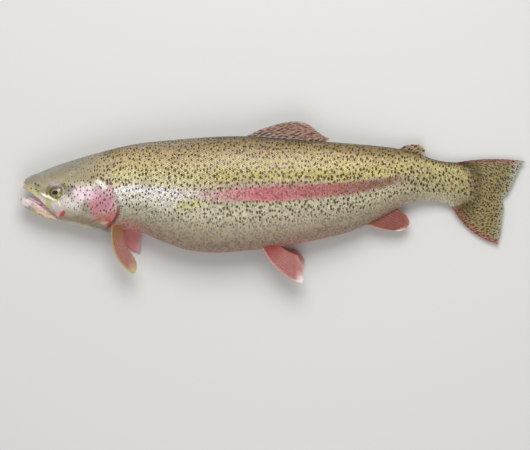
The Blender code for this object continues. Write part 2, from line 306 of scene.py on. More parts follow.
def body_place(points):
    """Find the turn of places in or on the body, and their share of the way to its surface."""
    x = points[:, 0]
    rise, reach_out = points[:, 1] - level(x), points[:, 2] - SPINE(x)
    reach, power = half_sections(x, rise > 0)
    up, out = np.abs(rise) / reach, np.abs(reach_out) / half_breadth(x)
    share = np.maximum((up**power + out**power) ** (1 / power), 1e-6)
    turn = np.arctan2(np.sign(reach_out) * out ** (power / 2), np.sign(rise) * up ** (power / 2))
    return turn, share


print("the left flank at x = 200:", on_body(200, math.pi / 2).round(1))


# %% Soft steps, soft bumps and curves
def smooth_step(value, start, end):
    """Rise smoothly from 0 at start to 1 at end. It falls where end is below start."""
    t = np.clip((np.asarray(value, float) - start) / (end - start), 0.0, 1.0)
    return t * t * (3 - 2 * t)


def bump(value, middle, width):
    """Rise to 1 at a middle value and fall off on both sides of it."""
    return np.exp(-(((value - middle) / width) ** 2))


def curve(points, closed=False, per_side=6):
    """Run a smooth curve through points, by Catmull and Rom's rule."""
    points = np.asarray(points, float)
    count = len(points)
    sides = count if closed else count - 1
    steps = np.arange(per_side)[:, None] / per_side
    found = []
    for i in range(sides):
        picks = [(i + k) % count if closed else min(max(i + k, 0), count - 1)
                 for k in (-1, 0, 1, 2)]
        a, b, c, d = points[picks]
        found.append(0.5 * (2 * b + (c - a) * steps + (2 * a - 5 * b + 4 * c - d) * steps**2
                            + (3 * b - a - 3 * c + d) * steps**3))
    if not closed:
        found.append(points[-1:])
    return np.concatenate(found)


# %% Where the flesh ends on the tail fin
TAIL_ROOT_POINTS = [(463, -17), (480, -8.5), (486.5, 8), (479, 29), (462, 34.4)]
TAPER_LENGTH = 24.0      # the flesh thins over this length before that line
TAIL_EDGE = 1.3          # half thickness of the flesh on the line
TAIL_ROOT = curve(TAIL_ROOT_POINTS)
print("the flesh ends between x =", TAIL_ROOT[:, 0].min(), "and", TAIL_ROOT[:, 0].max())


def before_tail(x, y):
    """Distance in front of the line where the flesh ends, negative behind it."""
    return np.interp(y, TAIL_ROOT[:, 1], TAIL_ROOT[:, 0]) - x


def thinned(places):
    """Press places towards the middle of the fish where the flesh runs out on the tail fin."""
    x, y, z = np.moveaxis(places, -1, 0)
    near_end = smooth_step(before_tail(x, y), TAPER_LENGTH, 0.0)
    share = 1 - (1 - TAIL_EDGE / np.maximum(half_breadth(x), TAIL_EDGE)) * near_end
    return np.stack((x, y, SPINE(x) + (z - SPINE(x)) * share), axis=-1)


# %% [markdown]
# ## One skin
#
# The real skin runs without a seam from the lips to the tail fin. Joined copies of the
# solids of flesh are remeshed with voxels, which closes the thin gaps between them and keeps
# the open mouth. The head gets smaller faces, since it carries the finest forms. Then every
# place near the body's surface is laid on the smooth lines, a little inside them, to leave
# room for the scales.

# %% Helpers for meshes and objects
OVERLAP = 0.35           # copies of the solids are grown by this, to close the gaps
SAME_CORNER = 0.002      # corners of the solids this near to each other are one


def merged_copy(bm, node):
    """Add a copy of a solid to a bmesh, with its corners merged and its surface grown."""
    copy = bmesh.new()
    copy.from_mesh(frame["nodes"][node].data)
    bmesh.ops.remove_doubles(copy, verts=copy.verts, dist=SAME_CORNER * MM)
    copy.normal_update()
    for vert in copy.verts:
        vert.co += vert.normal * OVERLAP * MM
    mesh = bpy.data.meshes.new("copy")
    copy.to_mesh(mesh)
    copy.free()
    bm.from_mesh(mesh)
    bpy.data.meshes.remove(mesh)


def add_object(name, data):
    """Show a mesh, a light or a camera as a new object."""
    made = bpy.data.objects.new(name, data)
    bpy.context.scene.collection.objects.link(made)
    return made


def add_piece(name, bm):
    """Turn a bmesh into a shown piece with smooth shading."""
    mesh = bpy.data.meshes.new(name)
    bm.to_mesh(mesh)
    bm.free()
    mesh.polygons.foreach_set("use_smooth", np.ones(len(mesh.polygons), bool))
    return add_object(name, mesh)


def apply_modifiers(piece):
    """Bake a piece's modifiers into its mesh."""
    graph = bpy.context.evaluated_depsgraph_get()
    mesh = bpy.data.meshes.new_from_object(piece.evaluated_get(graph))
    piece.modifiers.clear()
    old, piece.data = piece.data, mesh
    bpy.data.meshes.remove(old)


# %% Remesh the flesh as one closed body
VOXEL = 1.6

flesh = bmesh.new()
for node in (*FLESH, "eye_left", "eye_right"):
    merged_copy(flesh, node)
skin = add_piece("skin", flesh)
remesh = skin.modifiers.new("remesh", "REMESH")
remesh.mode = "VOXEL"
remesh.voxel_size = VOXEL * MM
remesh.use_smooth_shade = True
apply_modifiers(skin)
print("skin remeshed:", len(skin.data.polygons), "faces")


# %% Refine the head
HEAD_END = 112.0
SMOOTH_TIMES = 3


def rework(mesh, change):
    """Change a mesh by means of a bmesh."""
    bm = bmesh.new()
    bm.from_mesh(mesh)
    change(bm)
    bm.to_mesh(mesh)
    bm.free()


def in_head(vert):
    """Tell whether a vertex lies in the head."""
    return (vert.co.x - ORIGIN[0]) / MM < HEAD_END


def smooth_head(bm):
    """Smooth the head a little, so that no face catches the light on its own."""
    soft = [vert for vert in bm.verts if in_head(vert)]
    for _ in range(SMOOTH_TIMES):
        bmesh.ops.smooth_vert(bm, verts=soft, factor=0.5, use_axis_x=True, use_axis_y=True,
                              use_axis_z=True)


def refine_head(bm):
    """Cut each edge of the head in two, and smooth the steps of the voxels away."""
    edges = [edge for edge in bm.edges if all(map(in_head, edge.verts))]
    bmesh.ops.subdivide_edges(bm, edges=edges, cuts=1, use_grid_fill=True, smooth=0.0)
    smooth_head(bm)


rework(skin.data, refine_head)
print("skin refined:", len(skin.data.polygons), "faces")


# %% [markdown]
# ## Forms of the head
#
# A trout's head is all plates and folds: a long upper-jaw bone that lies over the mouth's
# corner, a gill cover with a free rear edge, the groove in front of it, nostrils, and
# the rim round the eye. Each one is an outline or a line on the side of the head, which
# raises or sinks the skin near it by a named height. All of them are added up, and the skin
# is moved by the sum.

# %% Distances to lines and outlines
def line_distance(x, y, line):
    """Distance from places to a line of points."""
    best = np.full(len(x), 1e9)
    for (ax, ay), (bx, by) in zip(line, line[1:]):
        dx, dy = bx - ax, by - ay
        t = np.clip(((x - ax) * dx + (y - ay) * dy) / (dx * dx + dy * dy + 1e-12), 0, 1)
        best = np.minimum(best, np.hypot(x - ax - t * dx, y - ay - t * dy))
    return best


def inside_distance(x, y, outline):
    """Distance from places to a closed outline, positive inside it."""
    closed = np.concatenate((outline, outline[:1]))
    inside = np.zeros(len(x), bool)
    for (ax, ay), (bx, by) in zip(closed, closed[1:]):
        crosses = (ay > y) != (by > y)
        inside ^= crosses & (x < (bx - ax) * (y - ay) / (by - ay + 1e-12) + ax)
    return np.where(inside, 1, -1) * line_distance(x, y, closed)


# %% Outlines on the side of the head
EYE = (39.0, 0.4)
EYE_OPENING = 6.9        # radius of the opening in which the eyeball shows
NOSTRILS = ((16.6, 9.8), (20, 8.2))
GILL_REAR = [(80, 15.5), (87, 13), (95.8, 4), (102.4, -7.4), (104.4, -15.9), (103.2, -24.4),
             (97, -32.6)]
GILL_EDGE = curve([*GILL_REAR, (90, -38)])
GILL_COVER = curve([*GILL_REAR, (88, -38.4), (72, -37), (64, -26), (63, -12), (66, 2),
                    (72, 11.5)], closed=True)
GILL_SEAM = curve([(101.5, -13), (94, -22), (84, -28.5), (75, -31)])
CHEEK_GROOVE = curve([(69, 13), (71, 2), (69.5, -12), (66, -23), (58, -31.5)])
CHEEK_RIDGE = curve([(65.5, 10), (66.5, 0), (64.5, -12), (60.5, -22), (52.5, -29)])
JAW_BONE = curve([(13.5, -0.6), (22.9, 0.2), (31.5, -3.8), (40.5, -8.4), (44.6, -14),
                  (46.2, -21), (44, -26.6), (39.5, -25.4), (34.3, -20.8), (26.5, -12.6),
                  (19, -6.2), (13, -2)], closed=True)
JAW_BONE_LINE = curve([(22, -4.2), (30, -8.4), (38, -14), (42.5, -21.5)])
JAW_BONE_EDGE = curve([(19, -6.6), (26.5, -12.9), (34.3, -21), (39.5, -25.6)])
LIP_INSIDE = curve([(20, -12.4), (26, -16), (32, -20.4)])
LOWER_LIP = curve([(1.5, -6.4), (6, -8.6), (12.4, -10.6), (18, -13.6), (25, -18.6), (33, -24)])
JAW_FOLD = curve([(10, -15.6), (20, -20.4), (32, -24.8), (46, -29.4), (60, -33.4)])
THROAT_FOLDS = [curve([(38, -29.5 - k * 0.9), (58, -34.6 - k * 1.7),
                       (78, -38.2 - k * 2), (97, -40 - k * 1.6)]) for k in range(3)]
BROW = curve([(27, 6.6), (33, 9.9), (40, 10.9), (47, 9.4), (52.5, 5.4)])
print("outlines of the head:", len(GILL_COVER), "points round the gill cover")


# %% Forms with an edge or in rings
# Each ring or ridge: its height, negative for a groove, its distance and its width.
GILL_RIDGES = ((-2.2, -1.6, 1.5), (0.35, 1.6, 1.0))      # cleft behind the edge, rolled edge
EYE_RINGS = ((0.7, 1.4, 1.2), (-0.55, 3.6, 1.6))         # soft rim, hollow round it
NOSTRIL_RINGS = ((-1.5, 0.0, 0.75), (0.4, 1.6, 0.7))     # pit, raised flap
GILL_LIFT, GILL_REACH = 1.2, 9.0     # rise of the free edge, and how far the rise reaches
BOWL_DEPTH, BOWL_EDGE = 3.2, (0.7, -0.9)     # the bowl that holds the eyeball
EYE_STRETCH = 1.04                   # the opening is a little lower than it is long
NOSTRIL_STRETCH = 1.25


def rings(distance, forms):
    """Add up rounded ridges and grooves at distances from an edge or a middle."""
    return sum(height * bump(distance, middle, width) for height, middle, width in forms)


def gill_step(x, y):
    """Lift the gill cover towards its free edge, and sink the skin just behind it."""
    inside = inside_distance(x, y, GILL_COVER)
    near = bump(line_distance(x, y, GILL_EDGE), 0.0, GILL_REACH)
    return near * (GILL_LIFT * smooth_step(inside, -0.8, 0.6) + rings(inside, GILL_RIDGES))


def eye_rim(x, y):
    """Sink the bowl that holds the eyeball, and raise the soft rim round it."""
    out = np.hypot(x - EYE[0], (y - EYE[1]) * EYE_STRETCH) - EYE_OPENING
    return rings(out, EYE_RINGS) - BOWL_DEPTH * smooth_step(out, *BOWL_EDGE)


def nostrils(x, y):
    """Sink two small pits, each with a raised flap round it."""
    return sum(rings(np.hypot((x - px) / NOSTRIL_STRETCH, y - py), NOSTRIL_RINGS)
               for px, py in NOSTRILS)


print("depth of the bowl behind the eye:", -eye_rim(*np.array(EYE)[:, None]).round(2))

# %% Plates and folds
JAW_BONE_RISE, JAW_BONE_BEVEL = 1.1, 0.9
# Each fold: its line, its height, negative for a groove, and its width.
FOLDS = (
    (JAW_BONE_LINE, -0.35, 0.9), (CHEEK_GROOVE, -0.6, 1.7), (CHEEK_RIDGE, 0.25, 2.2),
    (GILL_SEAM, -0.5, 0.9), (LOWER_LIP, 0.5, 1.4), (JAW_FOLD, -0.9, 1.3), (BROW, 0.4, 1.6),
    *((line, -0.9, 1.0) for line in THROAT_FOLDS),
)


def head_relief(x, y):
    """Add up the heights of all the forms of the head."""
    bone = smooth_step(inside_distance(x, y, JAW_BONE), -JAW_BONE_BEVEL, JAW_BONE_BEVEL)
    total = gill_step(x, y) + eye_rim(x, y) + nostrils(x, y) + JAW_BONE_RISE * bone
    for line, height, width in FOLDS:
        total += height * bump(line_distance(x, y, line), 0.0, width)
    return total


print("folds of the head:", len(FOLDS))


# %% Lay the skin on the smooth body
COAT_DEPTH = 0.7             # the skin lies this far inside the solids where scales cover it
BARE_DEPTH = 0.3             # and this far on the bare head
SNOUT_SNAPS = (0.35, 1.1)    # in front of the gills, deeper places belong to the mouth
BODY_SNAPS = (3.0, 6.0)      # further back, everything belongs to the outside
TIP_SNAPS = (0.8, 2.5)       # the blunt tip of the jaw keeps its own form
TIP_START = 0.2              # and doesn't reach past the solids
OPEN_HEAD_END = 58.0
FLOOR_SHARE = 0.6            # the pressed side keeps this much of the coat's depth
COAT_GROWS = (84.0, 112.0)   # the depth for the scales grows between these places
RELIEF_ENDS = (118.0, 108.0)
TAIL_END = 3.0               # the last stretch of flesh is as thin as the fin

places = to_fish(coords(skin.data))
turn, share = body_place(places)
from_middle = np.hypot(places[:, 1] - level(places[:, 0]), places[:, 2] - SPINE(places[:, 0]))
buried = from_middle * (1 / share - 1)
in_front = places[:, 0] < OPEN_HEAD_END
at_end = before_tail(places[:, 0], places[:, 1]) < TAIL_END
outer = np.where(in_front | at_end, smooth_step(buried, SNOUT_SNAPS[1], SNOUT_SNAPS[0]),
                 smooth_step(buried, BODY_SNAPS[1], BODY_SNAPS[0]))
outer *= smooth_step(places[:, 0], *TIP_SNAPS)
coat_share = smooth_step(places[:, 0], *COAT_GROWS)
depth = BARE_DEPTH + (COAT_DEPTH - BARE_DEPTH) * coat_share
relief = head_relief(places[:, 0], places[:, 1]) * smooth_step(places[:, 0], *RELIEF_ENDS)
snapped = on_body(places[:, 0], turn, relief - depth, floor=COAT_DEPTH * FLOOR_SHARE)
placed = thinned(places + (snapped - places) * outer[:, None])
placed[:, 0] = np.maximum(placed[:, 0], TIP_START)
placed[:, 2] = np.maximum(placed[:, 2], COAT_DEPTH * FLOOR_SHARE)
skin.data.vertices.foreach_set("co", to_frame(placed).astype(np.float32).ravel())
skin.data.update()
rework(skin.data, smooth_head)
print("skin laid:", round(float(outer.mean()), 3), "of it on the outside")


# %% [markdown]
# ## Colours and markings
#
# The colours of a trout change slowly along and round the body: an olive back, golden
# shoulders, silver behind the gills, a rose band a little below the middle that comes out of
# the silver and runs to the tail, and a grey-tan belly. The head has its own patches. One
# function gives this slow colour for any place, and is used for the skin and for every
# scale. The spots are too sharp for that, so the material draws them, in coordinates that
# follow the flank.

# %% Colour helpers
def linear(colour):
    """Turn display values from 0 to 255 into the linear values that shaders use."""
    value = np.asarray(colour, float) / 255
    return np.where(value <= 0.04045, value / 12.92, ((value + 0.055) / 1.055) ** 2.4)


def blend(under, colour, amount):
    """Lay a colour, or one for each place, over others by an amount for each place."""
    return under + (np.asarray(colour, float) - under) * np.asarray(amount)[:, None]


def ladder(value, steps):
    """Colours at places, from a list of (value, colour) steps."""
    stops = [stop for stop, _ in steps]
    colours = np.array([colour for _, colour in steps], float)
    return np.stack([np.interp(value, stops, colours[:, k]) for k in range(3)], axis=-1)


def rise_share(x, y):
    """Height of a place on the flank: 1 on the back, 0 at the widest place, -1 on the belly."""
    return (y - level(x)) / half_sections(x, y > level(x))[0]


print("middle grey, as a shader takes it:", linear((128, 128, 128)).round(3))

# %% Colours of the body
FLANK_STEPS = (
    (-1, (168, 126, 106)), (-0.9, (158, 136, 114)), (-0.7, (172, 158, 130)),
    (-0.4, (206, 198, 166)), (-0.15, (204, 194, 162)), (0, (210, 196, 162)),
    (0.16, (214, 202, 142)), (0.3, (214, 200, 132)), (0.5, (211, 192, 134)),
    (0.75, (194, 170, 123)), (0.9, (160, 136, 80)), (1, (100, 82, 42)),
)
STALK_STEPS = (
    (-1, (200, 192, 172)), (-0.75, (178, 170, 138)), (-0.3, (184, 174, 124)),
    (0.3, (202, 190, 132)), (0.7, (210, 196, 136)), (0.9, (144, 128, 78)), (1, (100, 86, 50)),
)
SILVER = (255, 252, 250)
BAND_STEPS = ((185, (226, 178, 182)), (250, (212, 116, 124)), (330, (182, 106, 102)),
              (365, (142, 84, 68)), (400, (136, 100, 72)))
BAND_EDGES = (0.20, 0.07)      # the rose band ends and is full at these heights on the flank
BAND_DROP = ((190, 245, 340, 400), (5.8, 5.8, 2.8, 2.4))    # its depth below the middle
BAND_WIDTH = ((180, 230, 265), (0.62, 0.76, 1))             # share of its full width
BAND_FRINGE = (192, 158, 148)
# Lightness of the back at places along the fish.
BACK_LIGHT = ((90, 170, 260, 340, 420), (1, 0.95, 0.93, 1.05, 1))
BELLY_ROSE = (196, 118, 104)
FIN_ROOT = (118, 102, 56)
# Each layer: colour, strength, x where it starts and is full, middle height and width.
FLANK_LAYERS = (
    (SILVER, 0.95, (225, 150), -0.08, 0.12),
    (SILVER, 0.55, (225, 150), -0.27, 0.16),
    (SILVER, 0.2, (225, 150), 0.24, 0.14),
    ((178, 180, 158), 0.5, (185, 135), -0.5, 0.16),       # grey-green under the silver
)
YELLOW, YELLOW_RISE, YELLOW_WIDTH = (190, 172, 84), 0.25, 0.09     # line above the rose band
# Each patch: colour, middle x and y, half length, half height, slope in degrees, strength.
BODY_PATCHES = (
    ((196, 196, 110), 180, -13, 20, 7, 8, 0.6),
    ((188, 194, 150), 235, -14, 30, 6, 2, 0.35),
    ((178, 166, 152), 150, 52, 62, 6, 5, 0.5),
    ((222, 214, 184), 208, -22, 48, 9, 0, 0.45),
    ((128, 106, 48), 362, 47, 60, 8, -6, 0.5),
)


print("steps of colour from belly to back:", len(FLANK_STEPS))

# %% Soft patches
PATCH_EDGE = (1.15, 0.45)      # a patch ends and is full at these shares of its size
FULL_WANDER = 6.0              # patches lower than this wander less, in proportion


def patch_share(x, y, middle_x, middle_y, length, height, slope):
    """Share of a soft-edged oval patch at places."""
    dx, dy, turned = x - middle_x, y - middle_y, math.radians(slope)
    along = dx * math.cos(turned) + dy * math.sin(turned)
    across = dy * math.cos(turned) - dx * math.sin(turned)
    return smooth_step(np.hypot(along / length, across / height), *PATCH_EDGE)


def wander(x, y, amount):
    """Shift places a little to and fro, so that the patches get uneven outlines."""
    return (x + amount * (1.5 * np.sin(0.45 * y + 1.3) + 0.9 * np.sin(1.1 * y + 0.4 * x)),
            y + amount * (1.2 * np.sin(0.5 * x) + 0.8 * np.sin(1.3 * x - 0.7 * y)))


def patched(hue, x, y, patches):
    """Lay soft patches with uneven outlines over the colours of places."""
    for colour, *oval, strength in patches:
        wandered = wander(x, y, min(1.0, oval[3] / FULL_WANDER))
        hue = blend(hue, colour, strength * patch_share(*wandered, *oval))
    return hue


# %% Slow colour of the body
def band_share(x, y):
    """Share of the rose band at places. It starts narrow and low, and climbs to the tail."""
    rise = rise_share(x, y + np.interp(x, *BAND_DROP))
    ends = smooth_step(x, 160, 245) * smooth_step(x, 425, 385)
    return ends * smooth_step(np.abs(rise) / np.interp(x, *BAND_WIDTH), *BAND_EDGES)


def body_hue(x, y):
    """Give the slow colour of the body, in display values."""
    rise = rise_share(x, y)
    hue = ladder(rise, FLANK_STEPS)
    light = 1 + (np.interp(x, *BACK_LIGHT) - 1) * smooth_step(rise, 0.1, 0.3)
    hue = blend(hue * light[:, None], ladder(rise, STALK_STEPS), smooth_step(x, 385, 440))
    for colour, strength, span, middle, width in FLANK_LAYERS:
        hue = blend(hue, colour, strength * smooth_step(x, *span) * bump(rise, middle, width))
    hue = patched(hue, x, y, BODY_PATCHES)
    yellow = smooth_step(x, 170, 220) * smooth_step(x, 400, 340)
    hue = blend(hue, YELLOW, 0.5 * yellow * bump(rise, YELLOW_RISE, YELLOW_WIDTH))
    fringe = smooth_step(x, 175, 235) * smooth_step(x, 345, 290)
    hue = blend(hue, BAND_FRINGE, 0.6 * fringe * smooth_step(np.abs(rise), *BAND_EDGES))
    rose = band_share(x, y) * (0.92 - 0.2 * smooth_step(x, 310, 400))
    hue = blend(hue, ladder(x, BAND_STEPS), rose)
    throat = 0.8 * smooth_step(x, 150, 112) * smooth_step(rise, -0.7, -0.95)
    vent = 0.5 * bump(x, 285, 30) * smooth_step(rise, -0.8, -1)
    for flush in (throat, vent):
        hue = blend(hue, BELLY_ROSE, flush)
    return blend(hue, FIN_ROOT, 0.85 * smooth_step(before_tail(x, y), 15, 1))


for x in (150.0, 250.0, 350.0):
    print("middle of the flank at x =", x, "is", body_hue(*np.array([[x], [0.0]]))[0].round())

# %% Colours of the head
HEAD_STEPS = (
    (-1, (120, 108, 92)), (-0.75, (160, 146, 122)), (-0.35, (216, 208, 190)),
    (0, (204, 196, 176)), (0.25, (180, 170, 134)), (0.6, (158, 148, 118)),
    (0.88, (140, 135, 118)), (1, (112, 106, 80)),
)
HEAD_PATCHES = (
    ((255, 230, 242), 72, -1, 20, 11, -8, 0.95),       # lilac sheen of the cheek
    ((216, 166, 180), 92, -6, 20, 15, -66, 0.85),      # mauve of the gill cover
    ((200, 118, 130), 81, -16, 14, 9, -74, 0.78),      # rose down its middle
    ((190, 116, 132), 93, -12, 13, 8, -60, 0.62),      # deeper rose towards the rear
    ((196, 152, 158), 99.5, -10, 12, 3.5, -80, 0.6),   # free edge of the gill cover
    ((248, 244, 240), 87.5, 9, 9, 4.4, -40, 0.95),     # white peak of the gill cover
    ((240, 226, 206), 75, 7.5, 9, 2.8, 8, 0.85),       # pale line in front of the peak
    ((174, 58, 48), 97.5, -27, 10, 5, 48, 0.85),       # red lower corner
    ((184, 110, 94), 90, -26, 9, 5, 20, 0.5),          # brick red in front of that corner
    ((228, 190, 170), 90, -31.5, 6, 1.8, 8, 0.7),      # pale fold below it
    ((232, 224, 220), 54, -10.5, 16, 6.5, -24, 0.8),   # pale cheek below the eye
    ((148, 140, 118), 71, -17, 5.5, 10, 8, 0.75),      # shade in front of the gill cover
    ((146, 130, 98), 70, -29.5, 20, 4.6, -14, 0.75),   # brown of the throat's side
    ((214, 196, 170), 62, -32.6, 22, 1.6, -15, 0.6),   # pale lower rim
    ((132, 122, 110), 54, 3, 7, 7, 0, 0.65),           # shade behind the eye
    ((130, 118, 64), 39, 1, 10.5, 10, 0, 0.7),         # olive round the eye
    ((184, 172, 190), 38, 8.6, 8.5, 3.4, -4, 0.8),     # lilac brow
    ((116, 102, 62), 46.5, 6, 5, 4, -40, 0.6),         # dark corner above and behind the eye
    ((108, 98, 60), 30.5, 2.6, 5, 6.5, 10, 0.55),      # dark fold in front of the eye
    ((164, 160, 122), 22, 4.6, 9, 4.5, -28, 0.7),      # olive-brown before the eye
    ((70, 62, 30), 19, 7.8, 5, 1.7, -32, 0.3),         # dark line over the nostrils
    ((118, 110, 70), 27.5, -2.4, 9.5, 4, -28, 0.5),    # dark strip above the jaw bone
    # painted highlight along the raised upper edge of the jaw bone, over its own pale colour
    ((252, 248, 222), 31.5, -4.4, 11, 2, -27, 1),      # pale upper edge of the jaw bone
    ((176, 168, 112), 33, -12, 10, 3.4, -52, 0.7),     # olive of the jaw bone
    ((214, 196, 216), 39.5, -15, 5.5, 4.5, -50, 0.8),  # lilac end of the jaw bone
    ((232, 176, 172), 42, -21.5, 5, 4.5, -50, 0.8),    # pink below it
    ((176, 44, 58), 45.6, -22.2, 4.6, 2.9, 40, 0.8),   # crimson corner of the mouth
    ((255, 236, 242), 7, -10.6, 9, 5, -24, 0.95),      # lilac-white tip of the jaw
    ((255, 214, 212), 23, -18, 13, 4, -31, 0.95),      # pink side of the lower jaw
    ((252, 224, 178), 27, -23.2, 21, 2.2, -20, 0.95),  # peach fold
    ((178, 186, 84), 14, -19.4, 4, 2, -25, 0.85),      # yellow-green fleck
    ((206, 100, 74), 21.5, -23.4, 2, 1.3, 0, 0.7),     # red fleck
    ((232, 186, 180), 3.6, 8.6, 2.8, 4.5, 0, 0.85),    # pink upper lip
    ((206, 204, 132), 14, 2.8, 9, 3, -27, 0.7),        # yellowish upper lip
    # painted highlight: a grey-lilac band along the crown, where the light from above falls
    ((168, 168, 172), 34, 25, 34, 4.5, 23, 0.3),       # grey-lilac crown
    ((168, 154, 116), 80, 25, 18, 15, 10, 0.6),        # tan of the nape
    ((196, 78, 70), 103, -35, 8, 3, 20, 0.85),         # red under the gill cover
)
FLECKS = (*NOSTRILS, (12.6, 4.9), (17.8, 3.7), (20.0, 1.9))    # nostrils and spots on the lip
FLECK_RADIUS, FLECK_COLOUR = 1.25, (26, 24, 12)
# Each line: colour, points, width, strength.
HEAD_LINES = (
    # painted shade: the dark lines along the jaw bone's lower edge, in the cheek's groove, inside
    # the lip and in the throat's folds
    ((112, 96, 62), JAW_BONE_EDGE, 0.9, 0.6),
    ((126, 108, 84), CHEEK_GROOVE, 1.5, 0.18),
    ((150, 66, 58), GILL_SEAM, 0.9, 0.45),
    ((134, 92, 88), LIP_INSIDE, 0.9, 0.5),
    ((112, 92, 70), THROAT_FOLDS[0], 0.8, 0.5),
    ((112, 92, 70), THROAT_FOLDS[1], 0.8, 0.5),
)
# the gills' red in the cleft behind the gill cover, with painted shade that darkens it in the cleft
CLEFT_RED = (138, 30, 26)
print("patches of the head:", len(HEAD_PATCHES))


# %% Slow colour of the head
def head_hue(x, y):
    """Give the slow colour of the head, in display values."""
    hue = patched(ladder(rise_share(x, y), HEAD_STEPS), x, y, HEAD_PATCHES)
    for colour, line, width, strength in HEAD_LINES:
        hue = blend(hue, colour, strength * bump(line_distance(x, y, line), 0.0, width))
    for px, py in FLECKS:
        fleck = smooth_step(np.hypot(x - px, y - py), FLECK_RADIUS, 0.4 * FLECK_RADIUS)
        hue = blend(hue, FLECK_COLOUR, 0.9 * fleck)
    inside = inside_distance(x, y, GILL_COVER)
    # the cleft behind the gill cover's free edge: the gills' red, darkened as painted shade
    cleft = bump(inside, -0.9, 1.2) * smooth_step(y, -10, -20) * smooth_step(x, 88, 94)
    return blend(hue, CLEFT_RED, 0.9 * cleft)


# %% Where the scales begin
NAPE = ((76.0, 46.0), (88.0, 13.0))          # above the gills, the scales begin behind this line
THROAT_EDGE = ((-45.0, -32.0), (112.0, 98.0))    # below them: heights, and where they begin there
COVER_TOP = 84.0                             # beside them, no scale lies in front of this
NAPE_BLEND, GILL_BLEND = (-14.0, 30.0), (-1.0, 4.0)  # where the head's colours give way


def behind_head(x, y):
    """Distance behind the line where the scales begin: down the nape and round the gills."""
    (ax, ay), (bx, by) = NAPE
    nape = x - (ax + (bx - ax) * np.clip((ay - y) / (ay - by), 0.0, 1.0))
    covered = inside_distance(x, y, GILL_COVER)
    low = np.minimum(x - np.interp(y, *THROAT_EDGE), x - COVER_TOP)
    return np.where(y > NAPE[1][1], nape, np.minimum(-covered, low))


# %% Slow colour anywhere
def fish_hue(x, y):
    """Give the slow colour anywhere on head and body, in linear values."""
    behind_it = behind_head(x, y)
    share = np.where(y > NAPE[1][1], smooth_step(behind_it, *NAPE_BLEND),
                     smooth_step(behind_it, *GILL_BLEND))
    return linear(np.clip(blend(head_hue(x, y), body_hue(x, y), share), 0, 255))


# %% How large the spots are
COVER_SPOTS = 0.74       # the spots on the gill cover are at most this large
BAND_FADES = 0.52        # the rose band takes this share of the spots away


def spot_strength(x, y):
    """Say how large the dark spots are: full on the flank, few on the head, none low down."""
    rise = rise_share(x, y)
    front = smooth_step(x, 230, 150)
    spots = smooth_step(rise, -0.85, -0.45)
    spots *= 1 - 0.23 * front * smooth_step(rise, 0.1, -0.1)                # low in front
    spots *= 1 - (0.1 + 0.08 * front) * smooth_step(rise, 0.3, 0.45)        # near the back
    spots *= 1 + 0.12 * smooth_step(x, 190, 230) * bump(rise, 0.22, 0.1)    # over the band
    spots *= 1 - 0.08 * smooth_step(x, 420, 460)                            # on the stalk
    crown = smooth_step(y, 6, 16)
    spots *= 1 - (0.22 + 0.28 * crown) * smooth_step(x, 96, 58)             # on the head
    spots *= smooth_step(x, 32, 58)                                         # none on the snout
    covered = inside_distance(x, y, GILL_COVER) > 0
    spots = np.where(covered, np.minimum(spots, COVER_SPOTS), spots)
    return spots * (1 - BAND_FADES * band_share(x, y))


print("size of the spots on the back at x = 20, 80 and 200:",
      spot_strength(np.array([20.0, 80.0, 200.0]), np.array([12.0, 30.0, 50.0])).round(2))

# %% Coordinates that follow the flank
TABLE_XS, TABLE_TURNS = np.linspace(0.0, LENGTH, 136), np.linspace(0.0, math.pi, 91)


def arc_table():
    """Lengths of skin from the widest place to each turn, at places along the fish."""
    around = on_body(TABLE_XS[:, None], TABLE_TURNS[None, :], floor=-99.0)
    steps = np.linalg.norm(np.diff(around, axis=1), axis=2)
    walked = np.concatenate((np.zeros((len(TABLE_XS), 1)), np.cumsum(steps, axis=1)), axis=1)
    middle = len(TABLE_TURNS) // 2
    return walked[:, middle:middle + 1] - walked


ARCS = arc_table()
print("skin between the middle of the flank and the back, at most:", ARCS.max().round(1))


def arc_of(x, turn):
    """Length of skin from the widest place up to a turn, negative below it."""
    across = np.abs(turn) / math.pi * (len(TABLE_TURNS) - 1)
    along = np.clip(x / LENGTH * (len(TABLE_XS) - 1), 0, len(TABLE_XS) - 1.001)
    i, j = along.astype(int), np.clip(across, 0, len(TABLE_TURNS) - 1.001).astype(int)
    s, t = along - i, across - j
    near = ARCS[i, j] * (1 - t) + ARCS[i, j + 1] * t
    far = ARCS[i + 1, j] * (1 - t) + ARCS[i + 1, j + 1] * t
    return near * (1 - s) + far * s


RIGHT_SHIFT = 731.0      # moves the right flank's spots on, so that the sides aren't mirrored


def along_flank(x, turn):
    """Distance along the left or the right flank."""
    return x + RIGHT_SHIFT * (turn < 0)


def flank_coordinates(x, turn):
    """Coordinates in metres along and up the skin, in which the materials draw spots."""
    return np.stack((along_flank(x, turn), arc_of(x, turn), x * 0), axis=-1) * MM


def set_attribute(mesh, name, values):
    """Store a colour or vector for each vertex."""
    colour = name == "hue"
    made = mesh.attributes.new(name, "FLOAT_COLOR" if colour else "FLOAT_VECTOR", "POINT")
    if colour:
        values = np.concatenate((values, np.ones((len(values), 1))), axis=1)
    made.data.foreach_set("color" if colour else "vector", values.astype(np.float32).ravel())


# %% Lining of the mouth
# the lining turns darker towards the back of the mouth: painted shade deep inside it
LINING, DEEP_LINING = (246, 212, 220), (206, 160, 172)
CHIN = (224, 206, 186)


def skin_hue(points, depth_in_mouth):
    """Give the skin's slow colour, with the pink lining of the mouth."""
    x, y, z = points.T
    hue = fish_hue(x, y)
    beside = np.abs(z - SPINE(x)) / half_breadth(x)
    chin = smooth_step(beside, 0.36, 0.12) * smooth_step(rise_share(x, y), -0.2, -0.6)
    hue = blend(hue, linear(CHIN), 0.85 * chin * smooth_step(x, 96, 60))
    # painted shade: the lining darkens from the lips towards the back of the mouth
    lining = blend(linear(LINING), linear(DEEP_LINING), smooth_step(x, 14, 34))
    return blend(hue, lining, depth_in_mouth)


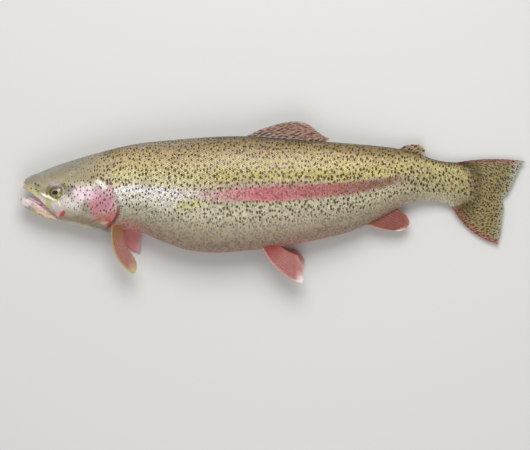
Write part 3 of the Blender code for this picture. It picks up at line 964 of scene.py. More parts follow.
final = to_fish(coords(skin.data))
final_turn, _ = body_place(final)
in_mouth = (1 - outer) * (places[:, 0] < OPEN_HEAD_END) * smooth_step(buried, 0.8, 2.2)
set_attribute(skin.data, "hue", skin_hue(final, in_mouth))
set_attribute(skin.data, "flank", flank_coordinates(final[:, 0], final_turn))
marks = np.stack((spot_strength(final[:, 0], final[:, 1]) * (1 - in_mouth), in_mouth,
                  np.zeros(len(final))), axis=-1)
set_attribute(skin.data, "marks", marks)
print("skin painted:", len(HEAD_PATCHES), "patches on the head")


# %% [markdown]
# ## Wet skin
#
# Living skin is a soft surface under a film of slime. The shader takes the slow colour from
# the mesh, draws dark spots where a cell pattern's points come near, breaks the colour up
# with fine noise, and puts a smooth coat on top for the wet shine.

# %% A short hand for shader nodes
class Nodes:
    """Adds and joins the nodes of one material."""

    def __init__(self, name):
        self.material = bpy.data.materials.new(name)
        self.material.use_nodes = True
        self.tree = self.material.node_tree
        self.shader = self.tree.nodes["Principled BSDF"]

    def add(self, kind, settings=None, **inputs):
        """Add a node. Inputs are sockets to join or values to set, by the socket's name."""
        node = self.tree.nodes.new(kind)
        for key, value in (settings or {}).items():
            setattr(node, key, value)
        for key, value in inputs.items():
            self.put(node, int(key[1:]) if key[0] == "_" else key.replace("_", " "), value)
        return node

    def put(self, node, socket, value):
        """Join an output to a node's socket, or set the socket's value."""
        if isinstance(value, bpy.types.NodeSocket):
            self.tree.links.new(value, node.inputs[socket])
        else:
            node.inputs[socket].default_value = value

    def attribute(self, name, kind="Vector"):
        """Read a vector or a colour that the mesh stores."""
        return self.add("ShaderNodeAttribute", {"attribute_name": name}).outputs[kind]

    def marks(self):
        """Read the three marks that the mesh stores for each vertex."""
        return self.add("ShaderNodeSeparateXYZ", Vector=self.attribute("marks")).outputs

    def math(self, operation, a, b=0.0, clamp=False):
        """Work out a sum of two values."""
        node = self.add("ShaderNodeMath", {"operation": operation, "use_clamp": clamp},
                        _0=a, _1=b)
        return node.outputs[0]

    def ramp(self, value, start, end, low=0.0, high=1.0):
        """Rise smoothly from low to high between two values."""
        node = self.add("ShaderNodeMapRange", {"interpolation_type": "SMOOTHSTEP"}, _0=value,
                        _1=start, _2=end, _3=low, _4=high)
        return node.outputs[0]

    def mix(self, under, over, amount, blend_type="MIX"):
        """Blend one colour over another."""
        node = self.tree.nodes.new("ShaderNodeMix")
        node.data_type = "RGBA"
        node.blend_type = blend_type
        for socket, value in ((0, amount), (6, under), (7, over)):
            self.put(node, socket, value)
        return node.outputs[2]

    def shaded(self, colour, factor):
        """Make a colour lighter or darker by a factor."""
        grey = self.add("ShaderNodeCombineColor", Red=factor, Green=factor, Blue=factor)
        return self.mix(colour, grey.outputs[0], 1.0, "MULTIPLY")

    def noise(self, place, scale, detail=2.0, output="Fac"):
        """Fine cloudy noise, as a value or as a colour."""
        node = self.add("ShaderNodeTexNoise", Vector=place, Scale=scale, Detail=detail)
        return node.outputs[output]

    def bump(self, height, distance, strength=1.0):
        """Turn a height into the shader's normal."""
        node = self.add("ShaderNodeBump", Height=height, Distance=distance, Strength=strength)
        self.put(self.shader, "Normal", node.outputs[0])

    def finish(self, colour, roughness, **values):
        """Set the surface's colour, roughness and other values."""
        self.put(self.shader, "Base Color", colour)
        self.put(self.shader, "Roughness", roughness)
        for key, value in values.items():
            self.put(self.shader, key.replace("_", " "), value)
        return self.material


def rgb(*colour):
    """A display colour as a shader takes it."""
    return (*linear(colour), 1.0)


# %% Spots and mottling that skin and scales share
SPOTS_PER_METRE = 292.0
print("distance between spots in mm:", round(1 / (SPOTS_PER_METRE * MM), 1))
SPOT_SCATTER = 0.85           # how far the spots stray from a regular pattern
SPOT_SIZES = (0.21, 0.37)     # radius of the smallest and largest spots, in cells
SPOT_EDGE = (-0.04, 0.07)     # width of their soft edge, in cells
SPOT_RAGGED = (0.0018, 0.0018, 0.0)
SPOT_DARK = (94, 70, 30)      # multiplies the colour under the spot
SPOT_STRETCH = 0.66           # spots are taller than they are long
LILAC = (198, 186, 206)       # sheen that drifts over the wet skin in soft clouds


def spotted(nodes, hue, lilac=0.22):
    """Draw the dark spots over a colour, in the coordinates that follow the flank."""
    flank = nodes.attribute("flank")
    shifted = nodes.add("ShaderNodeVectorMath", {"operation": "MULTIPLY_ADD"},
                        _0=nodes.noise(flank, 420.0, output="Color"), _1=SPOT_RAGGED, _2=flank)
    stretched = nodes.add("ShaderNodeVectorMath", {"operation": "MULTIPLY"},
                          _0=shifted.outputs[0], _1=(1.0, SPOT_STRETCH, 1.0))
    cells = nodes.add("ShaderNodeTexVoronoi", {"voronoi_dimensions": "2D"},
                      Vector=stretched.outputs[0], Scale=SPOTS_PER_METRE,
                      Randomness=SPOT_SCATTER)
    lot = nodes.add("ShaderNodeSeparateColor", Color=cells.outputs["Color"]).outputs[0]
    radius = nodes.math("MULTIPLY", nodes.ramp(lot, 0.0, 1.0, *SPOT_SIZES), nodes.marks()[0])
    spot = nodes.ramp(nodes.math("SUBTRACT", radius, cells.outputs["Distance"]), *SPOT_EDGE)
    sheen = nodes.ramp(nodes.noise(flank, 150.0), 0.48, 0.72, 0.0, lilac)
    hue = nodes.mix(hue, rgb(*LILAC), sheen)
    return nodes.mix(hue, rgb(*SPOT_DARK), nodes.math("MULTIPLY", spot, 0.95), "MULTIPLY"), flank


def mottled(nodes, colour, place, scale, low, high):
    """Break a colour up with fine lighter and darker noise."""
    return nodes.shaded(colour, nodes.ramp(nodes.noise(place, scale, 3.0), 0.3, 0.7, low, high))


# %% The skin's material
def skin_material():
    """Wet skin with spots, fine mottling and a network of tiny wrinkles."""
    nodes = Nodes("wet_skin")
    colour, flank = spotted(nodes, nodes.attribute("hue", "Color"))
    for scale, low, high in ((700.0, 0.84, 1.12), (160.0, 0.92, 1.06)):
        colour = mottled(nodes, colour, flank, scale, low, high)
    grain = nodes.noise(flank, 1100.0, 3.0)
    nodes.bump(grain, 0.00025, 0.5)
    return nodes.finish(colour, nodes.ramp(grain, 0.3, 0.7, 0.30, 0.48), Coat_Weight=0.5,
                        Coat_Roughness=0.12, Subsurface_Weight=0.08, Subsurface_Scale=0.002)


skin.data.materials.append(skin_material())
print("material:", skin.data.materials[0].name)

# %% Show the skin
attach(skin, "root")
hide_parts(*FLESH)
print("the skin stands for", len(FLESH), "solids")

# %% [markdown]
# ## The coat of scales
#
# A trout has well over a hundred small scales in each row. Each one grows from a pocket in
# the skin, lies towards the tail and covers the root of the next. Here a scale is a thin
# bevelled plate of a few faces, made once. Its copies are laid by arithmetic on arrays, in
# rows that follow the middle of the flank, and joined into a few meshes. A copy keeps the
# slow colour of its root, so the flank gets the fine mosaic of real scales.

# %% One scale
SCALE_SIDES = 8
SCALE_TOP = 0.62          # size of a scale's flat top, as a share of its rim


def one_scale():
    """Make a bevelled plate of unit size, and list its corners and faces."""
    bm = bmesh.new()
    bmesh.ops.create_circle(bm, cap_ends=True, segments=SCALE_SIDES, radius=1.0)
    raised = bmesh.ops.extrude_face_region(bm, geom=list(bm.faces))["geom"]
    top = [item for item in raised if isinstance(item, bmesh.types.BMVert)]
    bmesh.ops.scale(bm, vec=(SCALE_TOP, SCALE_TOP, 1.0), verts=top)
    bmesh.ops.translate(bm, vec=(0.0, 0.0, 1.0), verts=top)
    bmesh.ops.recalc_face_normals(bm, faces=bm.faces)
    bm.verts.index_update()
    corners = np.array([vert.co for vert in bm.verts])
    faces = [[vert.index for vert in face.verts] for face in bm.faces]
    bm.free()
    return corners, faces


SCALE_CORNERS, SCALE_FACES = one_scale()
print("one scale:", len(SCALE_CORNERS), "corners,", len(SCALE_FACES), "faces")

# %% Lay out the rows
ROW_PITCH = (2.4, 1.75)      # distance between rows on the thickest part and on the stalk
COLUMN_SHARE = 0.728         # distance between columns, as a share of that between rows
COAT_START, COAT_END = 73.0, 489.0
MOST_ROWS = 60               # no place has more rows than this above or below the middle
FIRST_SCALE, LAST_SCALE = 0.5, -2.0    # distances behind the head and before the flesh's end


def row_pitch(x):
    """Distance between rows of scales at x."""
    thick, stalk = ROW_PITCH
    return np.interp(x, (90.0, 150.0, 260.0, 450.0), (0.85 * thick, thick, thick, stalk))


def columns():
    """Places of the columns of scales along the fish."""
    found = [COAT_START]
    while found[-1] < COAT_END:
        found.append(found[-1] + COLUMN_SHARE * float(row_pitch(found[-1])))
    return found


def turns_at(x, arcs):
    """Find the turns at which the skin's length from the widest place has the given values."""
    i = min(x / LENGTH * (len(TABLE_XS) - 1), len(TABLE_XS) - 1.001)
    share = i - int(i)
    around = ARCS[int(i)] * (1 - share) + ARCS[int(i) + 1] * share
    kept = arcs[(arcs < around[0]) & (arcs > around[-1])]
    return kept, np.interp(-kept, -around, TABLE_TURNS)


def lay_out():
    """List x, signed turn and arc of every scale's root."""
    found = []
    for k, x in enumerate(columns()):
        pitch = float(row_pitch(x))
        arcs = (np.arange(-MOST_ROWS, MOST_ROWS + 1) + 0.5 * (k % 2)) * pitch
        arcs, turns = turns_at(x, arcs)
        for side in (1, -1):
            found.append(np.stack((np.full(len(arcs), x), side * turns, arcs), axis=-1))
    return np.concatenate(found)


roots = lay_out()
root_places = on_body(roots[:, 0], roots[:, 1])
behind = behind_head(roots[:, 0], root_places[:, 1])
to_tail = before_tail(roots[:, 0], root_places[:, 1])
kept = (behind > FIRST_SCALE) & (to_tail > LAST_SCALE)
roots, root_places, behind, to_tail = (item[kept] for item in (roots, root_places, behind, to_tail))
print("scales:", len(roots))

# %% Turn each scale to lie along the body
SCALE_LENGTH, SCALE_WIDTH = 0.98, 0.66   # half sizes, as shares of the distance between rows
SCALE_HEIGHT = 0.16                      # thickness of a scale's plate
SCALE_TILT = 0.11                        # rise of the free edge for each unit of length
SCALE_RISE = 0.18                        # a scale's middle lies this far above the skin
ROOT_SHARE = 0.35                        # and this share of a row's pitch behind its root
ROOT_DIP = 0.25                          # the first scales behind the head lie lower
SMALLEST, SMALL_AT_TAIL = 0.5, 0.8       # size of the first and the last scales
SIZE_SPREAD, TILT_SPREAD = (0.93, 1.07), (0.6, 1.4)
ABOVE_FLOOR = 0.02                       # no scale lies lower than this
SHIFT, TURN_SHIFT = 0.3, 0.01            # small steps used to measure the body's slope
dice = np.random.default_rng(7)


def unit(vectors):
    """Make vectors one unit long."""
    return vectors / np.maximum(np.linalg.norm(vectors, axis=-1, keepdims=True), 1e-9)


def axes_on_body(x, turn):
    """Directions towards the tail, up the flank and away from the body."""
    side = np.sign(turn)
    tailward = unit(on_body(x + SHIFT, turn) - on_body(x - SHIFT, turn))
    upward = unit(on_body(x, turn - TURN_SHIFT * side) - on_body(x, turn + TURN_SHIFT * side))
    outward = unit(np.cross(tailward, upward)) * side[:, None]
    return tailward, unit(np.cross(outward, tailward) * side[:, None]), outward


tailward, upward, outward = axes_on_body(roots[:, 0], roots[:, 1])
pitch = row_pitch(roots[:, 0])
growth = SMALLEST + (1 - SMALLEST) * smooth_step(behind, 0, 16)
growth *= SMALL_AT_TAIL + (1 - SMALL_AT_TAIL) * smooth_step(to_tail, 0, 9)
growth *= dice.uniform(*SIZE_SPREAD, len(roots))
half_length, half_width = pitch * growth * SCALE_LENGTH, pitch * growth * SCALE_WIDTH
tilt = SCALE_TILT * dice.uniform(*TILT_SPREAD, len(roots))

corner_x, corner_y, corner_z = SCALE_CORNERS.T[:, None]
local_x = corner_x * half_length[:, None] + ROOT_SHARE * pitch[:, None]
local_y = corner_y * half_width[:, None]
local_z = corner_z * SCALE_HEIGHT + corner_x * (half_length * tilt)[:, None]
local_z += SCALE_RISE - COAT_DEPTH - ROOT_DIP * smooth_step(behind, 12.0, 0.0)[:, None]
scale_places = (root_places[:, None] + local_x[..., None] * tailward[:, None]
                + local_y[..., None] * upward[:, None] + local_z[..., None] * outward[:, None])
scale_places = thinned(scale_places)
scale_places[..., 2] = np.maximum(scale_places[..., 2], ABOVE_FLOOR)
print("length of the scales in mm:", (2 * half_length).min().round(2), "to",
      (2 * half_length).max().round(2))

# %% Markings of the scales
root_hues = fish_hue(roots[:, 0], root_places[:, 1])
spot_sizes = spot_strength(roots[:, 0], root_places[:, 1])
lots = dice.uniform(0.0, 1.0, len(roots))
along = along_flank(roots[:, 0], roots[:, 1])
scale_flank = np.stack((along[:, None] + local_x, roots[:, 2, None] + local_y, local_x * 0),
                       axis=-1) * MM
scale_marks = np.stack(np.broadcast_arrays(spot_sizes[:, None], corner_z, lots[:, None]), axis=-1)
PATCH = 0.0015            # half the size of one scale on the map for baking
MAP_MARGIN = 0.01         # the fish's unwrapped shape keeps this clear of the map's edges
unwrapped = np.stack((roots[:, 0] / LENGTH, 0.5 + roots[:, 1] / (2 * math.pi)), axis=-1)
root_map = MAP_MARGIN + (1 - 2 * MAP_MARGIN) * unwrapped
scale_map = root_map[:, None] + PATCH * SCALE_CORNERS[None, :, :2]
print("map for baking:", scale_map.min().round(3), "to", scale_map.max().round(3))


# %% Join the scales into a few meshes
def joined_scales(name, chosen):
    """Build one mesh of all the chosen scales, with their attributes and map."""
    count, corners = len(chosen), len(SCALE_CORNERS)
    offsets = np.arange(count)[:, None] * corners
    pattern = np.concatenate(SCALE_FACES)
    totals = np.array([len(face) for face in SCALE_FACES])
    loops = (offsets + pattern[None, :]).ravel().astype(np.int32)
    loop_totals = np.tile(totals, count).astype(np.int32)
    loop_starts = np.concatenate(([0], np.cumsum(loop_totals)[:-1])).astype(np.int32)
    mesh = bpy.data.meshes.new(name)
    mesh.vertices.add(count * corners)
    mesh.vertices.foreach_set("co", to_frame(scale_places[chosen]).astype(np.float32).ravel())
    mesh.loops.add(len(loops))
    mesh.loops.foreach_set("vertex_index", loops)
    mesh.polygons.add(len(loop_totals))
    mesh.polygons.foreach_set("loop_start", loop_starts)
    mesh.polygons.foreach_set("loop_total", loop_totals)
    mesh.polygons.foreach_set("use_smooth", np.ones(len(loop_totals), bool))
    mesh.update(calc_edges=True)
    set_attribute(mesh, "hue", np.repeat(root_hues[chosen], corners, axis=0))
    set_attribute(mesh, "flank", scale_flank[chosen].reshape(-1, 3))
    set_attribute(mesh, "marks", scale_marks[chosen].reshape(-1, 3))
    layer = mesh.uv_layers.new(name="OFBake")
    layer.data.foreach_set("uv", scale_map[chosen].reshape(-1, 2)[loops].astype(np.float32).ravel())
    return add_object(name, mesh)


# %% Show the coat
# painted glints: each scale's colour is made duller or brighter by a random factor between these
GLINTS = (0.76, 1.21)     # how much of the light the dullest and the brightest scales return
RIM_SHADE = (96, 88, 62)


def scale_material():
    """A thin horny plate under the wet coat, with its bevelled rim in shade."""
    nodes = Nodes("scales")
    _, top_share, lot = nodes.marks()
    # painted glints: a random lightness for each scale
    base = nodes.shaded(nodes.attribute("hue", "Color"), nodes.ramp(lot, 0.0, 1.0, *GLINTS))
    base = nodes.mix(base, rgb(*RIM_SHADE), nodes.ramp(top_share, 0.5, 0.0, 0.0, 0.30))
    colour, flank = spotted(nodes, base)
    colour = mottled(nodes, colour, flank, 900.0, 0.88, 1.10)
    rough = nodes.ramp(lot, 0.0, 1.0, 0.26, 0.44)
    return nodes.finish(colour, rough, Metallic=0.12, Coat_Weight=0.35, Coat_Roughness=0.15)


SCALE_PIECES = 5
horn = scale_material()
order = np.argsort(roots[:, 0], kind="stable")
for number, chosen in enumerate(np.array_split(order, SCALE_PIECES), start=1):
    coat = joined_scales(f"scales_{number}", chosen)
    coat.data.materials.append(horn)
    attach(coat, "root")
    triangles = len(chosen) * sum(len(face) - 2 for face in SCALE_FACES)
    print(coat.name, "has", len(chosen), "scales and", triangles, "triangles")

# %% [markdown]
# ## Fins
#
# A fin is a thin skin stretched over soft rays, which split in two towards the edge. Each one
# is made from two grids of the same places, pushed a little apart and sewn along their
# rim. Across the rays the thickness swells and sinks, so the rays show as ridges, and
# the free edge is notched between them. Every fin's root is sunk in the body.

# %% Roots of the fins
ROOT_POINTS = 6          # of a root that follows the back or the belly


def flat(points, z=0.0):
    """Give points in x and y a distance beside the spine."""
    return [(x, y, z) for x, y in points]


def along_line(line, start, end, sink):
    """Root of a fin on the middle of the back or belly, sunk below the skin."""
    return [(x, float(line(x)) + sink, 0) for x in np.linspace(start, end, ROOT_POINTS)]


STALK_MIDDLE = np.array((430.0, 12.0))
FIN_SUNK = 5.0           # the tail fin's root is sunk this far towards that place
tail_arms = TAIL_ROOT[::-1] - STALK_MIDDLE
arm_lengths = np.linalg.norm(tail_arms, axis=1, keepdims=True)
sunk_root = STALK_MIDDLE + tail_arms * (1 - FIN_SUNK / arm_lengths)
print("root of the tail fin:", len(sunk_root), "points")

# %% Shapes of the fins
# The bow is that of the first and the last ray, the thickness is at the root and the margin.
FinShape = namedtuple("FinShape", "root margin bow thickness rays")
FIN_SHAPES = {
    "tail_fin": FinShape(
        flat(sunk_root),
        flat([(540.5, 33.9), (534.8, 28), (528.3, 14.8), (521, 0), (514.6, -6),
              (516.4, -15), (514.6, -29.4), (513.2, -42.4), (510, -54.7)]),
        (4, -6.8), (3.6, 0.6), 23),
    "dorsal_fin": FinShape(
        along_line(TOP, 235.5, 322, -3),
        flat([(290, 76.2), (299, 76.4), (307, 73.2), (314, 67.6), (321, 62), (329, 58)]),
        (3, 0.5), (2, 0.5), 14),
    "adipose_fin": FinShape(
        along_line(TOP, 401, 423, -3),
        flat([(407, 49.6), (413, 51.6), (420, 52.4), (427, 51.8), (431.4, 47.6), (431, 42.8)]),
        (0, 0), (2.4, 1), 9),
    "anal_fin": FinShape(
        along_line(BOTTOM, 365, 400, 3),
        flat([(403, -40.4), (409, -38.8), (413.4, -35), (414.6, -30), (411, -23.6)]),
        (-2.2, -0.5), (2, 0.5), 12),
    "pectoral_fin_left": FinShape(
        [(98.6, -32.2, 12.4), (105, -33.6, 11.4), (111, -34.2, 10)],
        flat([(119.8, -86.3), (123.6, -84.6), (125, -76.4), (121.6, -67.6), (115.8, -61)], z=5),
        (-9.5, -2.5), (2.2, 0.5), 13),
    "pectoral_fin_right": FinShape(
        [(98, -30.5, -15), (104.5, -32.6, -14), (111, -33.4, -12.4)],
        flat([(126.8, -64.8), (128, -59), (128, -52), (129.2, -42.6)], z=-25.4),
        (-7, -1), (2.2, 0.5), 13),
    "pelvic_fin_left": FinShape(
        [(256.4, -55.8, 9), (265, -55.4, 8.4), (274, -54.2, 8)],
        flat([(298.2, -96), (301.5, -94.2), (300.8, -85), (299.4, -75.4), (294.4, -65.4)], z=2),
        (-6.3, -1.5), (2.2, 0.5), 10),
    "pelvic_fin_right": FinShape(
        [(256.4, -55, -9.6), (265, -54.6, -9), (274, -53.4, -8.6)],
        flat([(298.6, -82.6), (302.6, -77), (302.6, -70.6), (298, -64), (292, -59.6)], z=-22),
        (-6, -1.5), (2.2, 0.5), 10),
}

print("fins:", len(FIN_SHAPES), "with", sum(shape.rays for shape in FIN_SHAPES.values()), "rays")

# %% Colours of the fins
# Root, middle and margin colours, first ray, last ray, tip of the first ray, then size of the
# spots and how close together they are.
FIN_COLOURS = {
    "tail_fin": ((98, 82, 36), (146, 132, 82), (164, 166, 142), (156, 104, 94),
                 (172, 96, 86), (168, 172, 156), 1.1, 1.3),
    "dorsal_fin": ((150, 136, 126), (160, 122, 102), (178, 152, 132), (196, 176, 160),
                   (156, 130, 114), (206, 192, 178), 1.1, 1),
    "adipose_fin": ((132, 110, 68), (154, 128, 92), (228, 218, 196), (158, 126, 90),
                    (216, 204, 182), (172, 138, 106), 1.15, 0.72),
    "anal_fin": ((146, 84, 64), (140, 78, 64), (176, 124, 108), (206, 172, 156),
                 (140, 80, 66), (246, 244, 240), 0, 1),
    "pectoral_fin_left": ((146, 104, 60), (166, 112, 100), (172, 150, 108), (200, 180, 118),
                          (170, 104, 98), (190, 180, 130), 0, 1),
    "pectoral_fin_right": ((216, 84, 70), (224, 138, 136), (222, 188, 202), (208, 104, 94),
                           (234, 214, 214), (206, 164, 172), 0, 1),
    "pelvic_fin_left": ((160, 70, 62), (176, 114, 108), (196, 142, 138), (220, 176, 164),
                        (176, 104, 100), (248, 244, 240), 0, 1),
    "pelvic_fin_right": ((160, 66, 60), (178, 104, 98), (192, 132, 126), (196, 136, 128),
                         (176, 104, 100), (222, 200, 192), 0, 1),
}


# %% Rays
RAY_NOTCH = 0.014        # the margin falls back this share of the fin's length between rays
WORN = (0.012, 57.0)     # depth and closeness of the uneven wear along the margin


def evenly(points, shares):
    """Pick points of a line at shares of its length."""
    points = np.asarray(points, float)
    walked = np.concatenate(([0.0], np.cumsum(np.linalg.norm(np.diff(points, axis=0), axis=1))))
    wanted = np.asarray(shares) * walked[-1]
    return np.stack([np.interp(wanted, walked, points[:, k]) for k in range(3)], axis=-1)


def ridges(s, t, rays):
    """Height of the rays, from 0 in the skin between them to 1. They split beyond the middle."""
    single = (0.5 + 0.5 * np.cos(2 * math.pi * s * (rays - 1))) ** 2
    double = (0.5 + 0.5 * np.cos(4 * math.pi * s * (rays - 1))) ** 2
    split = smooth_step(t, 0.45, 0.75)
    return single * (1 - split) + double * split


def fin_places(shape, s, t):
    """Places of a fin's middle sheet, and its length: s runs over the rays, t outwards."""
    starts, ends = evenly(curve(shape.root), s), evenly(curve(shape.margin), s)
    notch = RAY_NOTCH * (1 - ridges(s, np.ones_like(s), shape.rays))
    notch += WORN[0] * np.sin(s * WORN[1]) ** 2
    reach = t * (1 - notch * smooth_step(t, 0.7, 1.0))
    middle = starts + (ends - starts) * reach[:, None]
    direction = unit(ends - starts)
    across = unit(np.stack((-direction[:, 1], direction[:, 0], np.zeros(len(s))), axis=-1))
    bend = (shape.bow[0] * (1 - s) + shape.bow[1] * s) * 4 * reach * (1 - reach)
    return middle + across * bend[:, None], np.linalg.norm(ends - starts, axis=1)


# %% Sheets of the fins
COLUMNS_PER_RAY = 8
FIN_STEPS = 30
ROWS_CROWD = 1.6         # the grid's rows lie closer together towards the margin
THINNING = 0.6           # the fin thins fastest near its root
AT_RIM = 1e-4            # shares this near to 0 or 1 lie on the rim, where both sides meet


def fin_sheet(bm, shape, side):
    """Add one side of a fin to a bmesh, and note each vertex's shares of the fin."""
    thick, thin = shape.thickness
    made = bmesh.ops.create_grid(bm, x_segments=(shape.rays - 1) * COLUMNS_PER_RAY,
                                 y_segments=FIN_STEPS, size=0.5)["verts"]
    s, t = np.clip(np.array([vert.co for vert in made])[:, :2] + 0.5, 0, 1).T
    t = 1 - (1 - t) ** ROWS_CROWD
    middle, _ = fin_places(shape, s, t)
    half = 0.5 * (thick + (thin - thick) * t**THINNING)
    half *= (0.5 + 0.5 * ridges(s, t, shape.rays)) * (1 + 0.5 * smooth_step(s, 0.08, 0.0))
    at_rim = (np.minimum(s, t) < AT_RIM) | (np.maximum(s, t) > 1 - AT_RIM)
    half = np.where(at_rim, 0.0, half)
    height = np.maximum(middle[:, 2] + SPINE(middle[:, 0]), 0.3 * thick + 0.1)
    placed = np.stack((middle[:, 0], middle[:, 1], height + side * half), axis=-1)
    shares = bm.verts.layers.float_vector["shares"]
    for vert, place, share in zip(made, to_frame(placed), zip(s, t)):
        vert.co = place
        vert[shares] = (*share, 0.0)


def fin_mesh(name, shape):
    """Sew the two sides of a fin along their rim."""
    bm = bmesh.new()
    bm.verts.layers.float_vector.new("shares")
    for side in (1, -1):
        fin_sheet(bm, shape, side)
    bmesh.ops.remove_doubles(bm, verts=bm.verts, dist=0.01 * MM)
    bmesh.ops.recalc_face_normals(bm, faces=bm.faces)
    return add_piece(name, bm)


# %% Paint a fin
def fin_hue(colours, s, t):
    """Give a fin's slow colour from its root, middle, margin, first and last ray and tip."""
    root, middle, margin, first, last, tip = colours[:6]
    hue = ladder(t, ((0.1, root), (0.4, middle), (0.8, middle), (1.0, margin)))
    hue = blend(hue, last, 0.85 * smooth_step(s, 0.9, 1.0))
    hue = blend(hue, first, 0.9 * smooth_step(s, 0.1, 0.02))
    return linear(blend(hue, tip, smooth_step(t, 0.8, 0.97) * smooth_step(s, 0.5, 0.1)))


def paint_fin(piece, shape, colours):
    """Store a fin's slow colour, its rays, and coordinates with a row of cells for each ray."""
    shares = np.empty(len(piece.data.vertices) * 3, np.float32)
    piece.data.attributes["shares"].data.foreach_get("vector", shares)
    s, t = shares.reshape(-1, 3).T[:2]
    _, length = fin_places(shape, s, t)
    spot_size, closeness = colours[6:]
    rows = s * (shape.rays - 1) / (SPOTS_PER_METRE * SPOT_STRETCH) * closeness
    set_attribute(piece.data, "hue", fin_hue(colours, s, t))
    out = t * length * MM * closeness
    set_attribute(piece.data, "flank", np.stack((out, rows, rows * 0), axis=-1))
    spots = spot_size * smooth_step(t, 0.02, 0.12) * smooth_step(t, 1.0, 0.96)
    set_attribute(piece.data, "marks", np.stack((spots, ridges(s, t, shape.rays), t), axis=-1))


# %% The fins' material
def fin_material():
    """Thin wet skin, paler over the rays, with rows of spots where there are any."""
    nodes = Nodes("fin_skin")
    shade = nodes.ramp(nodes.marks()[1], 0.0, 0.9, 0.80, 1.10)
    base = nodes.shaded(nodes.attribute("hue", "Color"), shade)
    colour, flank = spotted(nodes, base, lilac=0.08)
    colour = mottled(nodes, colour, flank, 380.0, 0.86, 1.10)
    nodes.bump(nodes.noise(flank, 1500.0), 0.0002, 0.5)
    return nodes.finish(colour, 0.45, Coat_Weight=0.12, Coat_Roughness=0.12,
                        Specular_IOR_Level=0.3, Subsurface_Weight=0.12, Subsurface_Scale=0.002)


fin_skin = fin_material()
print("material:", fin_skin.name)

# %% Show the fins
for name, shape in FIN_SHAPES.items():
    fin = fin_mesh(f"{name}_rays", shape)
    paint_fin(fin, shape, FIN_COLOURS[name])
    fin.data.materials.append(fin_skin)
    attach(fin, "root")
    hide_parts(name)
    print(fin.name, "has", len(fin.data.polygons), "faces")

# %% [markdown]
# ## Eyes
#
# A trout's eye is a flattened ball, set in a shallow bowl of skin. Its pupil isn't round:
# it runs to a point towards the snout, inside a thin gold ring. The rest of the iris is
# olive, browner in front and greyer above. The ball is turned to look along the skin's own
# outward direction, and its material draws the iris in the ball's own coordinates.

# %% Eyeballs
EYE_RADII = (7.5, 7.5, 4.0)
EYE_PROUD = 0.7          # how far the ball rises above the skin


def turn_at(x, y):
    """Find the turn on the left flank at a height."""
    turns = np.linspace(0.05, math.pi - 0.05, 400)
    heights = on_body(x, turns)[:, 1]
    return float(np.interp(-y, -heights, turns))


def eyeball(side_name, side):
    """Make one eye, with its own coordinates in millimetres as an attribute."""
    turn = np.array([side * turn_at(*EYE)])
    x = np.array([EYE[0]])
    back, up, out = (Vector(axis[0]) for axis in axes_on_body(x, turn))
    centre = Vector(on_body(x, turn)[0]) + out * (EYE_PROUD - EYE_RADII[2])
    bm = bmesh.new()
    bmesh.ops.create_uvsphere(bm, u_segments=56, v_segments=28, radius=1.0)
    own = bm.verts.layers.float_vector.new("iris")
    for vert in bm.verts:
        local = Vector((vert.co[k] * EYE_RADII[k] for k in range(3)))
        vert[own] = local
        place = centre + back * local.x + up * local.y + out * local.z
        vert.co = to_frame(place)
    bmesh.ops.recalc_face_normals(bm, faces=bm.faces)
    piece = add_piece(f"eyeball_{side_name}", bm)
    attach(piece, "root")
    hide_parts(f"eye_{side_name}")
    return piece


# %% Iris and pupil
PUPIL_EDGE = (2.98, 2.70)     # distances from the middle where the pupil starts and is black
RING_EDGE = (3.9, 3.2)        # and where the gold ring round it starts and is full
RING_GLOW = (-2.4, 3.6, 0.2, 1.0)     # the ring is brightest on the upper rear side
POINTED = (-0.6, 1.2, 1.0, 0.76)      # the front half is drawn out to a point
SQUASHED = 1.14               # the pupil is lower than it is long
OLIVES = ((82, 74, 36), (158, 148, 84))
# Shades over the olive: above, in front and at the rim.
IRIS_GREY, IRIS_BROWN, IRIS_RIM = (92, 86, 84), (86, 76, 36), (130, 120, 76)
GOLD, PUPIL_BLACK = (210, 198, 136), (5, 5, 6)


def eye_material():
    """Pupil, gold ring and olive iris under a clear wet coat."""
    nodes = Nodes("eye")
    iris = nodes.attribute("iris")
    back, up, _ = nodes.add("ShaderNodeSeparateXYZ", Vector=iris).outputs
    forward = nodes.math("MULTIPLY", back, -1.0)
    along = nodes.math("MULTIPLY", forward, nodes.ramp(forward, *POINTED))
    across = nodes.math("MULTIPLY", up, SQUASHED)
    radius = nodes.math("SQRT", nodes.math("ADD", nodes.math("MULTIPLY", along, along),
                                           nodes.math("MULTIPLY", across, across)))
    fleck = nodes.ramp(nodes.noise(iris, 0.9, 4.0), 0.34, 0.62)
    glow = nodes.ramp(nodes.math("ADD", across, back), *RING_GLOW)
    colour = rgb(*OLIVES[0])
    for over, amount in (
        (OLIVES[1], fleck),
        (IRIS_GREY, nodes.ramp(across, 0.0, 4.4, 0.0, 0.9)),
        (IRIS_BROWN, nodes.ramp(forward, 2.4, 5.0, 0.0, 0.7)),
        (IRIS_RIM, nodes.ramp(radius, 5.2, 7.2, 0.0, 0.7)),
        (GOLD, nodes.math("MULTIPLY", nodes.ramp(radius, *RING_EDGE), glow)),
        (PUPIL_BLACK, nodes.ramp(radius, *PUPIL_EDGE)),
    ):
        colour = nodes.mix(colour, rgb(*over), amount)
    return nodes.finish(colour, 0.22, Coat_Weight=1.0, Coat_Roughness=0.03)


# %% Show the eyes
eye_finish = eye_material()
for side_name, side in (("left", 1), ("right", -1)):
    eyeball(side_name, side).data.materials.append(eye_finish)
print("eyes:", 2)

# %% [markdown]
# ## Tongue and teeth
#
# The mouth is open, so its pink tongue shows, with a shallow furrow along it. Small sharp
# teeth stand in a row just inside both lips. A cone with its tip bent back makes one tooth.

